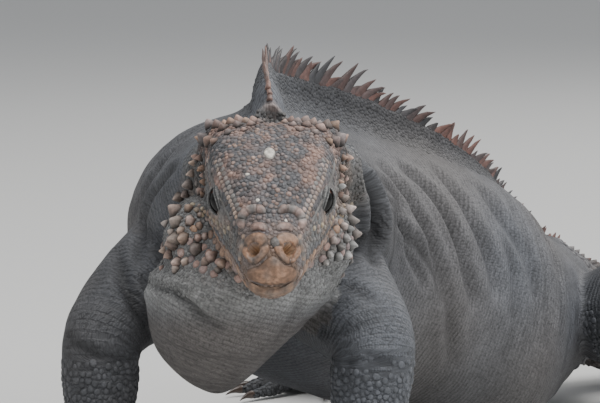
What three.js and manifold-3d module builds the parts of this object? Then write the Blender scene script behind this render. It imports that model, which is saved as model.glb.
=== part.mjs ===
// A rock iguana, life size: a large West Indian ground lizard standing up on its forelegs with its head
// lowered, its belly and tail on the floor, and its body curving away behind the head to its own left.
//
// Millimetres, +Z up, the floor at Z = 0. The origin lies on the flat under the belly, and the
// head faces -Y. Body, tail and limbs are sweeps of named sections. Scales that name the animal from a
// step away (crest spines, jowl tubercles, head cones, tail whorls, lids and nostrils) are in the solids.

import * as THREE from "three";
import { mergeVertices } from "three/addons/utils/BufferGeometryUtils.js";
import Module from "manifold-3d";

const wasm = await Module();
wasm.setup();

const { degToRad, clamp, lerp, smoothstep } = THREE.MathUtils;

// Driving sizes.
const gap = 0.32; // left between two meshes that touch
const headLength = 93; // snout tip to the neck's front section
const headDrop = 26; // nose-down tilt of the head, in degrees
const snoutTip = new THREE.Vector3(-94, -275, 100); // front end of the mouth line
const tailLength = 640; // pelvis to tail tip
const floorDip = 1.2; // how far resting forms reach below the floor before it trims them flat
const trunkSides = 22; // corners of a section of head and trunk
const tailSides = 14;

// Colours read off the animal.
const slate = new THREE.MeshStandardMaterial({ color: 0x55565a, roughness: 0.8, metalness: 0 });
const headRust = new THREE.MeshStandardMaterial({ color: 0x7d675b, roughness: 0.7, metalness: 0 });
const eyeDark = new THREE.MeshStandardMaterial({ color: 0x1c1714, roughness: 0.15, metalness: 0 });
const clawHorn = new THREE.MeshStandardMaterial({ color: 0x2b2724, roughness: 0.45, metalness: 0 });

// Head sections. back is the distance behind the snout tip, wide the half width, top and base the
// heights above the mouth line, level the height of the widest point, crown and chin the squareness.
const headSections = [
  { back: -1, wide: 5.5, top: 8, base: -3.5, level: 2, crown: 2, chin: 2 },
  { back: 1.5, wide: 10.5, top: 14.5, base: -7.5, level: 3, crown: 2.2, chin: 2 },
  { back: 8, wide: 13, top: 20, base: -10, level: 4, crown: 2.4, chin: 2 },
  { back: 20, wide: 16.5, top: 25, base: -13, level: 4, crown: 2.6, chin: 2 },
  { back: 32, wide: 21.5, top: 30, base: -16, level: 6, crown: 3, chin: 2 },
  { back: 44, wide: 25.5, top: 34.5, base: -19, level: 8, crown: 3.4, chin: 2 },
  { back: 58, wide: 27.5, top: 36.5, base: -25, level: 8, crown: 3.8, chin: 2.2 },
  { back: 72, wide: 29, top: 36, base: -32, level: 5, crown: 4, chin: 2.4 },
  { back: 84, wide: 32, top: 33.5, base: -37, level: 3, crown: 4, chin: 2.4 },
  { back: headLength, wide: 35, top: 31, base: -39, level: -4, crown: 2, chin: 2.2 },
];

// Trunk sections behind the head, from the neck to the pelvis. turn is the heading in degrees, 0 facing
// -Y. lean leans the section forward, roll tips the back to the left, ridge is the skin fold under the
// crest, and crown and chin square the upper and lower half off.
const trunkSections = [
  { x: -96, y: -152, turn: 6, lean: 8, roll: 0, wide: 54, top: 163, base: 72, level: 114, ridge: 13, crown: 2, chin: 2 },
  { x: -97, y: -108, turn: 20, lean: 0, roll: 8, wide: 66, top: 162, base: 44, level: 102, ridge: 13, crown: 2, chin: 2.2 },
  { x: -55, y: -52, turn: 36, lean: 0, roll: 10, wide: 62, top: 150, base: 18, level: 78, ridge: 9, crown: 2, chin: 2.4 },
  { x: -8, y: 0, turn: 36, lean: 0, roll: 9, wide: 55, top: 128, base: -floorDip, level: 57, ridge: 5, crown: 2, chin: 3 },
  { x: 16, y: 46, turn: 28, lean: 0, roll: 9, wide: 43, top: 102, base: 0, level: 49, ridge: 4, crown: 2, chin: 2.6 },
  { x: 39, y: 90, turn: 26, lean: 0, roll: 6, wide: 33, top: 84, base: 10, level: 47, ridge: 3, crown: 2, chin: 2 },
];

// How the tail turns as it leaves the pelvis: distance along it, and heading in degrees.
const tailBends = [
  [0, trunkSections.at(-1).turn],
  [60, 44],
  [130, 64],
  [230, 84],
  [340, 84],
  [440, 62],
  [540, 38],
  [tailLength, 22],
];
const tailRoot = { wide: 27, high: 28, middle: 46 }; // half sizes and centre height where the tail begins
const tailTip = { wide: 1.6, high: 1.8 };
const tailDown = 120; // distance along the tail at which it comes down to the floor
const tailCuts = [0, 110, 230, 350, 480, tailLength]; // where the tail is divided

// Limbs, each from the trunk out: joint centres in the frame, and radii at the root, middle and end.
const arms = {
  right: {
    shoulder: [-134, -114, 96],
    elbow: [-169, -166, 68],
    wrist: [-171, -176, 15],
    point: [-0.36, -1], // where the hand points on the floor
    radii: [27, 24, 19.5],
    forearm: [19.5, 17.5, 11],
  },
  left: {
    shoulder: [-74, -140, 84],
    elbow: [-50, -186, 67],
    wrist: [-52, -192, 15],
    point: [0.3, -1],
    radii: [27, 26, 20.5],
    forearm: [20, 18, 11],
  },
};
const hindLeg = {
  hip: { out: 27, ahead: 4, high: 46 },
  knee: { out: 96, ahead: 34, high: 58 },
  ankle: { out: 112, ahead: -26, high: 17 },
  point: { out: 0.45, ahead: 1 },
  radii: [30, 25, 17],
  shank: [17.5, 15, 9.5],
};
const handToes = [
  { length: 17, fan: 52 },
  { length: 25, fan: 26 },
  { length: 29, fan: 3 },
  { length: 28, fan: -20 },
  { length: 20, fan: -46 },
];
const footToes = [
  { length: 19, fan: 38 },
  { length: 30, fan: 20 },
  { length: 42, fan: 4 },
  { length: 52, fan: -12 },
  { length: 34, fan: -44 },
];
const toeRadius = { root: 4.3, tip: 2.7 };
const claw = { length: 9.5, radius: 2 };

const down = new THREE.Vector3(0, 0, -1);

// A smooth value of one named size along a list of sections, with p from 0 to 1 over the whole list.
function along(sections, p, key) {
  const place = clamp(p, 0, 1) * (sections.length - 1);
  const i = Math.min(Math.floor(place), sections.length - 2);
  const value = (k) => sections[clamp(k, 0, sections.length - 1)][key];
  const [a, b, c, d] = [value(i - 1), value(i), value(i + 1), value(i + 2)];
  const t = place - i;
  const bend = 2 * a - 5 * b + 4 * c - d;
  return b + 0.5 * t * (c - a + t * (bend + t * (3 * (b - c) + d - a)));
}

// A repeatable random number from 0 to 1 for a whole-number seed.
function chance(seed) {
  const s = Math.sin(seed * 127.1 + 311.7) * 43758.5453;
  return s - Math.floor(s);
}

// Forward, left and up of a section with this heading, lean and roll.
function axesOf(turn, lean, roll) {
  const flat = new THREE.Vector3(-Math.sin(degToRad(turn)), -Math.cos(degToRad(turn)), 0);
  const up = new THREE.Vector3(0, 0, 1);
  const left = new THREE.Vector3().crossVectors(up, flat);
  up.applyAxisAngle(left, degToRad(lean));
  const forward = flat.clone().applyAxisAngle(left, degToRad(lean));
  left.applyAxisAngle(forward, degToRad(-roll));
  up.applyAxisAngle(forward, degToRad(-roll));
  return { forward, left, up };
}

const headAxes = axesOf(0, headDrop, 0);

// A place on the head: distance behind the snout, to the left, and above the mouth line.
function headPlace(back, side, high) {
  return snoutTip
    .clone()
    .addScaledVector(headAxes.forward, -back)
    .addScaledVector(headAxes.left, side)
    .addScaledVector(headAxes.up, high);
}

// The head section at p from 0 to 1, as a section of the body.
function headSection(p) {
  const size = (key) => along(headSections, p, key);
  return {
    ...headAxes,
    centre: headPlace(size("back"), 0, size("level")),
    wide: size("wide"),
    rise: size("top") - size("level"),
    fall: size("level") - size("base"),
    ridge: 0,
    crown: size("crown"),
    chin: size("chin"),
  };
}

// The head's last section joins the trunk's list, so that neck and head share one outline.
const neckFront = headSections.at(-1);
const neckFrontPlace = headPlace(neckFront.back, 0, neckFront.level);
const bodySections = [
  {
    ...neckFront,
    x: neckFrontPlace.x,
    y: neckFrontPlace.y,
    level: neckFrontPlace.z,
    top: neckFrontPlace.z + neckFront.top - neckFront.level,
    base: neckFrontPlace.z + neckFront.base - neckFront.level,
    turn: 0,
    lean: headDrop,
    roll: 0,
    ridge: 0,
  },
  ...trunkSections,
];

function bodySection(p) {
  const size = (key) => along(bodySections, p, key);
  return {
    ...axesOf(size("turn"), size("lean"), size("roll")),
    centre: new THREE.Vector3(size("x"), size("y"), size("level")),
    wide: size("wide"),
    rise: size("top") - size("level"),
    fall: size("level") - size("base"),
    ridge: size("ridge"),
    crown: size("crown"),
    chin: size("chin"),
  };
}

// The tail's middle line, followed in short steps from the pelvis.
const tailStep = 10;
const tailLine = [];
{
  const pelvis = trunkSections.at(-1);
  const spot = new THREE.Vector3(pelvis.x, pelvis.y, 0);
  for (let far = 0; far <= tailLength; far += tailStep) {
    const i = clamp(tailBends.findIndex(([d]) => d > far) - 1, 0, tailBends.length - 2);
    const [fromFar, fromTurn] = tailBends[i];
    const [toFar, toTurn] = tailBends[i + 1];
    const turn = far >= tailLength ? toTurn : lerp(fromTurn, toTurn, (far - fromFar) / (toFar - fromFar));
    tailLine.push({ x: spot.x, y: spot.y, turn });
    spot.addScaledVector(axesOf(turn, 0, 0).forward, -tailStep);
  }
}

// The tail section at a distance from the pelvis.
function tailSection(far) {
  const pelvis = trunkSections.at(-1);
  const p = far / tailLength;
  const taper = Math.pow(1 - p, 0.86);
  const fromPelvis = smoothstep(far, 0, 45);
  const wide = lerp(pelvis.wide, lerp(tailTip.wide, tailRoot.wide, taper), fromPelvis);
  const rise = lerp(pelvis.top - pelvis.level, lerp(tailTip.high, tailRoot.high, taper), fromPelvis);
  const fall = lerp(pelvis.level - pelvis.base, lerp(tailTip.high, tailRoot.high, taper), fromPelvis);
  const resting = fall - floorDip * clamp(taper * 3, 0, 1);
  const held = lerp(pelvis.level, tailRoot.middle, fromPelvis);
  const level = lerp(held, resting, smoothstep(far, 20, tailDown));
  const at = (key) => along(tailLine, p, key);
  return {
    ...axesOf(at("turn"), 0, lerp(pelvis.roll, 0, fromPelvis)),
    centre: new THREE.Vector3(at("x"), at("y"), level),
    wide,
    rise,
    fall,
    ridge: 3 * (1 - p),
    crown: 2,
    chin: 2,
  };
}

// A point of a section's outline. An angle of 0 is the left side and 90 the back, and grow thickens it.
function outline(section, angle, grow = 0) {
  const c = Math.cos(degToRad(angle));
  const s = Math.sin(degToRad(angle));
  const square = s > 0 ? section.crown : section.chin;
  const tall = s > 0 ? section.rise : section.fall;
  const side = (section.wide + grow) * Math.sign(c) * Math.pow(Math.abs(c), 2 / square);
  let high = (tall + grow) * Math.sign(s) * Math.pow(Math.abs(s), 2 / square);
  if (s > 0) high += section.ridge * Math.exp(-Math.pow(side / (4.5 + 0.35 * section.ridge), 2));
  return section.centre.clone().addScaledVector(section.left, side).addScaledVector(section.up, high);
}

// Section corners sit closer together beside the ridge of the back, where the outline turns sharply.
function cornerAngle(share) {
  const turned = share * 360 - 270;
  return 90 + turned - 10.5 * Math.sin(degToRad(turned)) - 7 * Math.sin(degToRad(2 * turned));
}

// A closed mesh becomes a solid, and the other way round.
function solidOf(geometry) {
  geometry.deleteAttribute("normal");
  geometry.deleteAttribute("uv");
  const merged = mergeVertices(geometry, 1e-4);
  return new wasm.Manifold(
    new wasm.Mesh({
      numProp: 3,
      vertProperties: new Float32Array(merged.attributes.position.array),
      triVerts: new Uint32Array(merged.index.array),
    }),
  );
}

function geometryOf(solid) {
  const mesh = solid.getMesh();
  const geometry = new THREE.BufferGeometry();
  const corners = new Float32Array(mesh.numVert * 3);
  for (let i = 0; i < mesh.numVert; i++) {
    corners.set(mesh.vertProperties.subarray(i * mesh.numProp, i * mesh.numProp + 3), i * 3);
  }
  geometry.setAttribute("position", new THREE.BufferAttribute(corners, 3));
  geometry.setIndex(new THREE.BufferAttribute(mesh.triVerts, 1));
  return geometry;
}

// Moves every corner of a ready-made closed geometry to where place() puts it.
function shaped(geometry, place) {
  const position = geometry.attributes.position;
  const corner = new THREE.Vector3();
  for (let i = 0; i < position.count; i++) {
    corner.fromBufferAttribute(position, i);
    const moved = place(corner);
    position.setXYZ(i, moved.x, moved.y, moved.z);
  }
  const made = solidOf(geometry);
  return made.volume() < 0 ? solidOf(turnedInsideOut(geometry)) : made;
}

function turnedInsideOut(geometry) {
  const index = geometry.index.array;
  for (let i = 0; i < index.length; i += 3) [index[i], index[i + 1]] = [index[i + 1], index[i]];
  return geometry;
}

// A length of the body between two places along it, closed flat at both ends.
function sweep(sectionAt, from, to, steps, grow = 0, corners = trunkSides) {
  const cylinder = new THREE.CylinderGeometry(1, 1, 1, corners, steps);
  return shaped(cylinder, ({ x, y, z }) => {
    const section = sectionAt(lerp(from, to, 0.5 - y));
    if (x * x + z * z < 0.5) return section.centre.clone();
    const share = (Math.atan2(z, x) / (2 * Math.PI) + 1) % 1;
    return outline(section, cornerAngle(share), grow);
  });
}

// A round limb through some points, blunt at both ends, with radii spread evenly along it.
function limb(points, radii, { sides = 12, rings = 9, flat = 1, grow = 0 } = {}) {
  const line = new THREE.CatmullRomCurve3(points.map((p) => new THREE.Vector3(...p)));
  const sizes = radii.map((radius) => ({ radius }));
  return shaped(new THREE.SphereGeometry(1, sides, rings), ({ x, y, z }) => {
    const ends = new THREE.Vector2(x, z).length();
    const along01 = (1 - y) / 2;
    const centre = line.getPoint(along01);
    const ahead = line.getTangent(along01);
    const across = new THREE.Vector3().crossVectors(ahead, down).normalize();
    const over = new THREE.Vector3().crossVectors(across, ahead);
    if (ends < 1e-6) return centre.addScaledVector(ahead, y > 0 ? -grow : grow);
    const radius = (along(sizes, along01, "radius") * Math.pow(ends, 0.42) + grow) / ends;
    return centre.addScaledVector(across, x * radius * flat).addScaledVector(over, z * radius);
  });
}

// An egg of three radii, in the directions of three axes.
function egg(centre, axes, [along1, along2, along3], sides = 12, rings = 8) {
  return shaped(new THREE.SphereGeometry(1, sides, rings), ({ x, y, z }) =>
    centre
      .clone()
      .addScaledVector(axes[0], x * along1)
      .addScaledVector(axes[1], y * along2)
      .addScaledVector(axes[2], z * along3),
  );
}

const headFrame = [headAxes.forward, headAxes.left, headAxes.up];

// A pointed scale standing on a surface. lie is the way it leans, and thin its thickness across.
function spine(root, outward, lie, { high, long, thin, lean, sides = 5, sunk = 2, rings = 2, swell = 1.25 }) {
  const out = outward.clone().normalize();
  const back = lie.clone().addScaledVector(out, -lie.dot(out)).normalize();
  const across = new THREE.Vector3().crossVectors(out, back);
  return shaped(new THREE.ConeGeometry(1, 1, sides, rings), ({ x, y, z }) => {
    const up = y + 0.5;
    const plump = up > 0.4 && up < 0.6 ? swell : 1;
    return root
      .clone()
      .addScaledVector(out, up * (high + sunk) - sunk)
      .addScaledVector(back, (z * long * plump) / 2 + lean * high * up * up)
      .addScaledVector(across, (x * thin * plump) / 2);
  });
}

function joined(solids) {
  return wasm.Manifold.union(solids);
}

// The largest closed piece of a solid, without loose scraps.
function largest(solid) {
  return solid.decompose().sort((a, b) => b.volume() - a.volume())[0];
}

// Everything below the floor is trimmed away, which leaves the flats that the animal rests on.
const underFloor = solidOf(new THREE.BoxGeometry(1600, 1600, 40).translate(0, 0, -20));

function without(solid, ...others) {
  return others.reduce((left, other) => left.subtract(other), solid);
}

const iguana = new THREE.Group();

function addNode(name, solid, material) {
  const mesh = new THREE.Mesh(geometryOf(largest(solid)), material);
  mesh.name = name;
  iguana.add(mesh);
}

// Neck, trunk and tail: one outline from the head to the tail tip, parted by thin cuts.
const sectionShare = (station) => station / (bodySections.length - 1);
const bodyCuts = [0, 1.45, 3.45, 6].map(sectionShare); // neck, chest, belly with pelvis
const cutShare = gap / 2 / 330; // half a gap, as a share of the trunk's length
const wholeNeck = (grow) => sweep(bodySection, bodyCuts[0] + cutShare, bodyCuts[1] - cutShare, 7, grow);
const wholeChest = (grow) => sweep(bodySection, bodyCuts[1] + cutShare, bodyCuts[2] - cutShare, 9, grow);
const wholeBelly = (grow) => sweep(bodySection, bodyCuts[2] + cutShare, bodyCuts[3], 11, grow);
const tailRing = 19; // between the rings of corners along the tail
const wholeTail = (i, grow) => {
  const [from, to] = [tailCuts[i] + gap, tailCuts[i + 1]];
  return sweep(tailSection, from, to, Math.round((to - from) / tailRing), grow, tailSides);
};

// Crest spines stand on the ridge of the back, leaning back, each list of sizes a share of its run.
function crest(sectionAt, from, to, count, size, seed) {
  const spines = [];
  for (let i = 0; i < count; i++) {
    const p = lerp(from, to, (i + 0.5) / count);
    const step = (to - from) / 200;
    const root = outline(sectionAt(p), 90);
    const behind = outline(sectionAt(p + step), 90).sub(outline(sectionAt(p - step), 90));
    const form = size((i + 0.5) / count);
    const odd = 0.84 + 0.32 * chance(seed + i);
    spines.push(
      spine(root, sectionAt(p).up, behind, { ...form, high: form.high * odd, sunk: 2.5 }),
    );
  }
  return spines;
}

const neckCrest = crest(bodySection, 0.05, bodyCuts[1] - 0.008, 8, (p) => ({
  high: lerp(6, 15, smoothstep(p, 0, 0.6)),
  long: lerp(6, 9.5, p),
  thin: 3.2,
  lean: 0.5,
}), 11);
const chestCrest = crest(bodySection, bodyCuts[1] + 0.01, bodyCuts[2] - 0.01, 13, (p) => ({
  high: lerp(15, 10, p),
  long: lerp(10.5, 8, p),
  thin: 3,
  lean: 0.75,
}), 31);
const bellyCrest = crest(bodySection, bodyCuts[2] + 0.01, 0.985, 16, (p) => ({
  high: lerp(9.5, 5.5, p),
  long: 7,
  thin: 2.6,
  lean: 0.7,
}), 53);

addNode("neck", joined([wholeNeck(0), ...neckCrest]), slate);
addNode("chest", joined([wholeChest(0), ...chestCrest]), slate);
addNode("belly", joined([wholeBelly(0), ...bellyCrest]).subtract(underFloor), slate);

// Tail whorls: every few rings of small scales a ring of larger keeled ones stands up.
const whorlStep = 30;
for (let i = 0; i < tailCuts.length - 1; i++) {
  const from = tailCuts[i];
  const to = tailCuts[i + 1];
  const pieces = [wholeTail(i, 0)];
  const last = to === tailLength ? 12 : 4;
  pieces.push(
    ...crest(tailSection, from + 4, to - last, Math.round((to - from) / 12.5), (p) => {
      const far = lerp(from, to, p);
      const high = far < 40 ? lerp(6, 10, far / 40) : lerp(11, 2.2, Math.pow(far / tailLength, 0.8));
      const size = (root, tip) => lerp(root, tip, far / tailLength);
      return { high, long: size(7.5, 4), thin: size(2.6, 1.2), lean: 0.6, rings: far < 230 ? 2 : 1 };
    }, 100 + 20 * i),
  );
  for (let far = Math.max(from + 12, 56); far < Math.min(to - 8, 430); far += whorlStep) {
    const section = tailSection(far);
    const behind = section.forward.clone().negate();
    for (const angle of [8, 38, 142, 172]) {
      const root = outline(section, angle);
      const out = root.clone().sub(section.centre).normalize();
      pieces.push(
        spine(root, out, behind, { high: lerp(3.4, 1.6, far / 430), long: 7, thin: 5, lean: 1.1, sides: 4, rings: 1 }),
      );
    }
  }
  addNode(`tail_${i + 1}`, joined(pieces).subtract(underFloor), slate);
}

// The dewlap: the loose throat hanging in a bag under the jaw and neck, tipped to the right.
const dewlapSections = [
  { x: -98, y: -200, z: 116, across: 30, deep: 42 },
  { x: -106, y: -198, z: 95, across: 42, deep: 50 },
  { x: -112, y: -197, z: 80, across: 37, deep: 43 },
  { x: -118, y: -198, z: 64, across: 27, deep: 31 },
  { x: -119, y: -200, z: 51, across: 14, deep: 16 },
  { x: -118, y: -201, z: 44, across: 1.5, deep: 1.5 },
];

function dewlapSection(p) {
  const size = (key) => along(dewlapSections, p, key);
  return {
    centre: new THREE.Vector3(size("x"), size("y"), size("z")),
    left: new THREE.Vector3(1, 0, 0),
    up: new THREE.Vector3(0, 1, 0),
    wide: size("across"),
    rise: size("deep"),
    fall: size("deep"),
    ridge: 0,
    crown: 2,
    chin: 2,
  };
}

const dewlapBag = (grow) => sweep(dewlapSection, 0, 1, 10, grow, 18);

// The head's plain form, and the point of its surface at a distance behind the snout.
const wholeHead = (grow) => sweep(headSection, 0, 1 - gap / headLength, 14, grow);

function headShare(back) {
  let [low, high] = [0, 1];
  for (let i = 0; i < 24; i++) {
    const middle = (low + high) / 2;
    if (along(headSections, middle, "back") < back) low = middle;
    else high = middle;
  }
  return low;
}

function onHead(back, angle) {
  const share = headShare(back);
  const point = outline(headSection(share), angle);
  const alongHead = outline(headSection(Math.min(share + 0.01, 1)), angle)
    .sub(outline(headSection(share - 0.01), angle));
  const round = outline(headSection(share), angle + 2).sub(outline(headSection(share), angle - 2));
  return { point, out: alongHead.cross(round).normalize() };
}

const backwards = headAxes.forward.clone().negate();
const sides = { left: 1, right: -1 };

// Eyes: the ball, the mound of the lids round it, and the narrow opening between the lids.
const eye = { back: 42, side: 19.4, high: 17, radius: 7.2, lid: 1.3 };
const eyeAxes = (side) => {
  const look = new THREE.Vector3()
    .addScaledVector(headAxes.left, side)
    .addScaledVector(headAxes.forward, 0.42)
    .addScaledVector(headAxes.up, 0.05)
    .normalize();
  const slit = new THREE.Vector3()
    .addScaledVector(headAxes.forward, 0.94)
    .addScaledVector(headAxes.left, -0.39 * side)
    .addScaledVector(headAxes.up, -0.5)
    .normalize();
  const over = new THREE.Vector3().crossVectors(look, slit).normalize();
  return [slit, over, look];
};

// Jowls: the swollen cheek behind the jaw, carrying the large tubercles.
const jowls = {
  right: { back: 66, side: 28, high: -19, radii: [24, 19.5, 21] },
  left: { back: 66, side: 22, high: -16, radii: [23, 14, 20] },
};

function jowl(name, grow = 0) {
  const { back, side, high, radii } = jowls[name];
  const centre = headPlace(back, side * sides[name], high);
  return egg(centre, headFrame, radii.map((radius) => radius + grow), 12, 8);
}

function tubercles(name) {
  const { back, side, high, radii } = jowls[name];
  const centre = headPlace(back, side * sides[name], high);
  const pieces = [];
  const count = 14;
  for (let i = 0; i < count; i++) {
    const ring = Math.sqrt((i + 0.6) / count) * 1.25; // radians away from the cheek's outer pole
    const round = i * 2.4 + 0.5; // golden angle
    const forward = Math.sin(ring) * Math.cos(round) + 0.12;
    const up = Math.sin(ring) * Math.sin(round) + 0.12;
    const out = Math.cos(ring);
    const way = new THREE.Vector3()
      .addScaledVector(headAxes.forward, forward)
      .addScaledVector(headAxes.left, out * sides[name])
      .addScaledVector(headAxes.up, up);
    const root = centre
      .clone()
      .addScaledVector(headAxes.forward, forward * radii[0])
      .addScaledVector(headAxes.left, out * radii[1] * sides[name])
      .addScaledVector(headAxes.up, up * radii[2]);
    const size = lerp(1, 0.62, ring / 1.25) * (0.85 + 0.3 * chance(i + 7));
    pieces.push(
      spine(root, way, backwards, { high: 5.2 * size, long: 8.4 * size, thin: 7.6 * size, lean: 0.2, sunk: 3, swell: 1.6 }),
    );
  }
  return pieces;
}

// Cones standing on the head, given as distance behind the snout, angle round the section and height.
const headCones = [
  [81, 62, 6.5],
  [80, 50, 7],
  [79, 37, 6.5],
  [76, 25, 6],
  [83, 73, 5.5],
  [73, 72, 3.8],
  [72, 58, 4.2],
  [70, 12, 4.5],
  [68, 1, 4.6],
  [62, -8, 4.6],
  [64, 14, 3.6],
  [56, -12, 4.2],
];

// Low plates raised on the snout and crown: place, half sizes along, across and proud.
const snoutPlates = [
  { back: 13, angle: 64, half: [3.4, 6.4, 2.2] },
  { back: 20.5, angle: 64, half: [3.8, 7, 2.2] },
  { back: 29, angle: 66, half: [4.2, 5, 1.6] },
];

function plateOn(back, angle, [long, across, proud]) {
  const { point, out } = onHead(back, angle);
  const sideways = new THREE.Vector3().crossVectors(out, backwards).normalize();
  const alongPlate = new THREE.Vector3().crossVectors(sideways, out);
  return egg(point, [alongPlate, sideways, out], [long, across, proud], 8, 4);
}

const headPieces = [wholeHead(0)];
const headSpines = [];
const headHollows = [];
for (const [name, side] of Object.entries(sides)) {
  const mirrored = (angle) => (side > 0 ? angle : 180 - angle);
  const [slit, over, look] = eyeAxes(side);
  const eyeCentre = headPlace(eye.back, eye.side * side, eye.high);
  const lidRadius = eye.radius + gap + eye.lid;
  headPieces.push(egg(eyeCentre, [slit, over, look], [lidRadius + 2.4, lidRadius - 0.2, lidRadius], 12, 8));
  headHollows.push(egg(eyeCentre, [slit, over, look], Array(3).fill(eye.radius + gap), 12, 8));
  const opening = eyeCentre.clone().addScaledVector(look, eye.radius + 1);
  headHollows.push(egg(opening, [slit, over, look], [5.8, 2, 5], 10, 6));
  addNode(`eye_${name}`, egg(eyeCentre, [slit, over, look], Array(3).fill(eye.radius), 12, 8), eyeDark);

  // The brow: a row of keeled scales over the eye.
  for (let i = 0; i < 6; i++) {
    const { point, out } = onHead(33 + i * 4.6, mirrored(33 - i));
    headPieces.push(spine(point, out, backwards, { high: 2.2, long: 6, thin: 3.6, lean: 0.9, sides: 4, rings: 1 }));
  }
  headPieces.push(jowl(name));
  headSpines.push(...tubercles(name));
  for (const [back, angle, high] of headCones) {
    const { point, out } = onHead(back, mirrored(angle));
    const width = 2.2 + high * 0.72;
    headSpines.push(spine(point, out, backwards, { high, long: width, thin: width, lean: 0.3, rings: 1 }));
  }
  for (const { back, angle, half } of snoutPlates) headPieces.push(plateOn(back, mirrored(angle), half));

  // The nostril: a ringed swelling at the front of the snout with its hole.
  const nostril = headPlace(3.6, 6.6 * side, 12.2);
  const sniff = headAxes.forward.clone().addScaledVector(headAxes.left, 0.35 * side).normalize();
  const beside = new THREE.Vector3().crossVectors(headAxes.up, sniff).normalize();
  headPieces.push(egg(nostril, [sniff, beside, headAxes.up], [4.6, 6.2, 6], 10, 6));
  const hole = nostril.clone().addScaledVector(sniff, 4.4).addScaledVector(beside, 0.8 * side);
  headHollows.push(egg(hole, [sniff, beside, headAxes.up], [4, 2.1, 2.1], 8, 6));

  // The ear: a shallow oval hollow behind the jaw.
  const ear = onHead(80, mirrored(8));
  headHollows.push(egg(ear.point, [ear.out, headAxes.forward, headAxes.up], [2.4, 3.2, 5.4], 8, 6));
}
headPieces.push(egg(headPlace(0.8, 0, 4.6), headFrame, [3, 8.6, 4.6], 10, 6)); // plate over the front lip
headPieces.push(egg(headPlace(1.6, 0, -4), headFrame, [2.8, 7.4, 3.4], 10, 6)); // plate under the front lip

// The mouth: a groove round the muzzle, dipping at the eye and rising to the corner of the jaw.
const mouthLine = [[-8, 0], [8, -0.4], [22, -1.6], [36, -2.6], [50, -1.4], [61, 1.6]];
const mouthHalf = 0.45;
const mouthShape = new THREE.Shape([
  ...mouthLine.map(([back, high]) => new THREE.Vector2(back, high + mouthHalf)),
  ...mouthLine.toReversed().map(([back, high]) => new THREE.Vector2(back, high - mouthHalf)),
]);
const mouthSlab = shaped(
  new THREE.ExtrudeGeometry(mouthShape, { depth: 90, bevelEnabled: false }),
  ({ x, y, z }) => headPlace(x, z - 45, y),
);
const lipDepth = 2;
const headCore = shaped(new THREE.CylinderGeometry(1, 1, 1, 14, 6), ({ x, y, z }) => {
  const section = headSection(lerp(headShare(lipDepth), headShare(66), 0.5 - y));
  if (x * x + z * z < 0.5) return section.centre.clone();
  return outline(section, cornerAngle((Math.atan2(z, x) / (2 * Math.PI) + 1) % 1), -lipDepth);
});
const outsideDewlap = joined(headSpines).subtract(dewlapBag(gap));
const head = without(joined([...headPieces, outsideDewlap]), ...headHollows, mouthSlab.subtract(headCore));
addNode("head", head, headRust);

addNode(
  "dewlap",
  without(
    dewlapBag(0),
    wholeHead(gap),
    jowl("left", gap),
    jowl("right", gap),
    wholeNeck(gap),
    wholeChest(gap),
  ),
  slate,
);

// Limbs.
const bodyGrown = [wholeNeck(gap), wholeChest(gap), wholeBelly(gap), wholeTail(0, gap), dewlapBag(gap)];

function paw(name, wrist, point, { toes, palm, forearm, lift }) {
  const ahead = new THREE.Vector3(point[0], point[1], 0).normalize();
  const across = new THREE.Vector3().crossVectors(ahead, down).normalize();
  const heel = new THREE.Vector3(wrist[0], wrist[1], palm.thick - floorDip);
  const middle = heel.clone().addScaledVector(ahead, palm.long * 0.45);
  const up = new THREE.Vector3(0, 0, 1);
  const pieces = [egg(middle, [ahead, across, up], [palm.long * 0.72, palm.wide, palm.thick], 9, 5)];
  const inward = name.includes("left") ? -1 : 1;
  toes.forEach(({ length, fan }, i) => {
    const way = ahead.clone().applyAxisAngle(up, degToRad(fan * inward * -1));
    const from = middle.clone().addScaledVector(way, palm.long * 0.2).setZ(palm.thick * 0.7);
    const at = (share, high) => from.clone().addScaledVector(way, palm.long * 0.35 + length * share).setZ(high);
    const end = at(1, toeRadius.tip + 0.5);
    const points = [from, at(0.18, lift + 1.5), at(0.55, lift), end].map((v) => v.toArray());
    const girths = [toeRadius.root, toeRadius.root, 3.6, toeRadius.tip];
    const toe = (grow) => limb(points, girths, { sides: 6, rings: 4, grow });
    pieces.push(toe(0));
    const clawSolid = shaped(new THREE.ConeGeometry(1, 1, 4, 3), ({ x, y, z }) => {
      const out = y + 0.5;
      return end
        .clone()
        .addScaledVector(way, out * claw.length - 1)
        .addScaledVector(up, z * claw.radius + out * 2.2 - 4.6 * out * out)
        .addScaledVector(across, x * claw.radius * 0.7);
    });
    addNode(`${name}_claw_${i + 1}`, without(clawSolid, toe(gap), underFloor), clawHorn);
  });
  addNode(name, without(joined(pieces), forearm, underFloor), slate);
}

const hand = { toes: handToes, palm: { long: 26, wide: 12.5, thick: 8 }, lift: 6.5 };
const foot = { toes: footToes, palm: { long: 36, wide: 12.5, thick: 8 }, lift: 6.5 };

function between(a, b, share) {
  return a.map((value, i) => lerp(value, b[i], share));
}

function leg(names, root, joint, end, point, upperRadii, lowerRadii, sole) {
  const upper = (grow) => limb([root, between(root, joint, 0.5), joint], upperRadii, { grow, sides: 14 });
  const endLow = [end[0], end[1], end[2] - 5];
  const lower = (grow) => limb([joint, between(joint, endLow, 0.5), endLow], lowerRadii, { grow });
  addNode(names[0], without(upper(0), ...bodyGrown, underFloor), slate);
  addNode(names[1], without(lower(0), upper(gap), ...bodyGrown, underFloor), slate);
  paw(names[2], end, point, { ...sole, forearm: lower(gap) });
}

for (const [name, { shoulder, elbow, wrist, point, radii, forearm }] of Object.entries(arms)) {
  const names = [`upper_arm_${name}`, `forearm_${name}`, `hand_${name}`];
  leg(names, shoulder, elbow, wrist, point, radii, forearm, hand);
}

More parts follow.
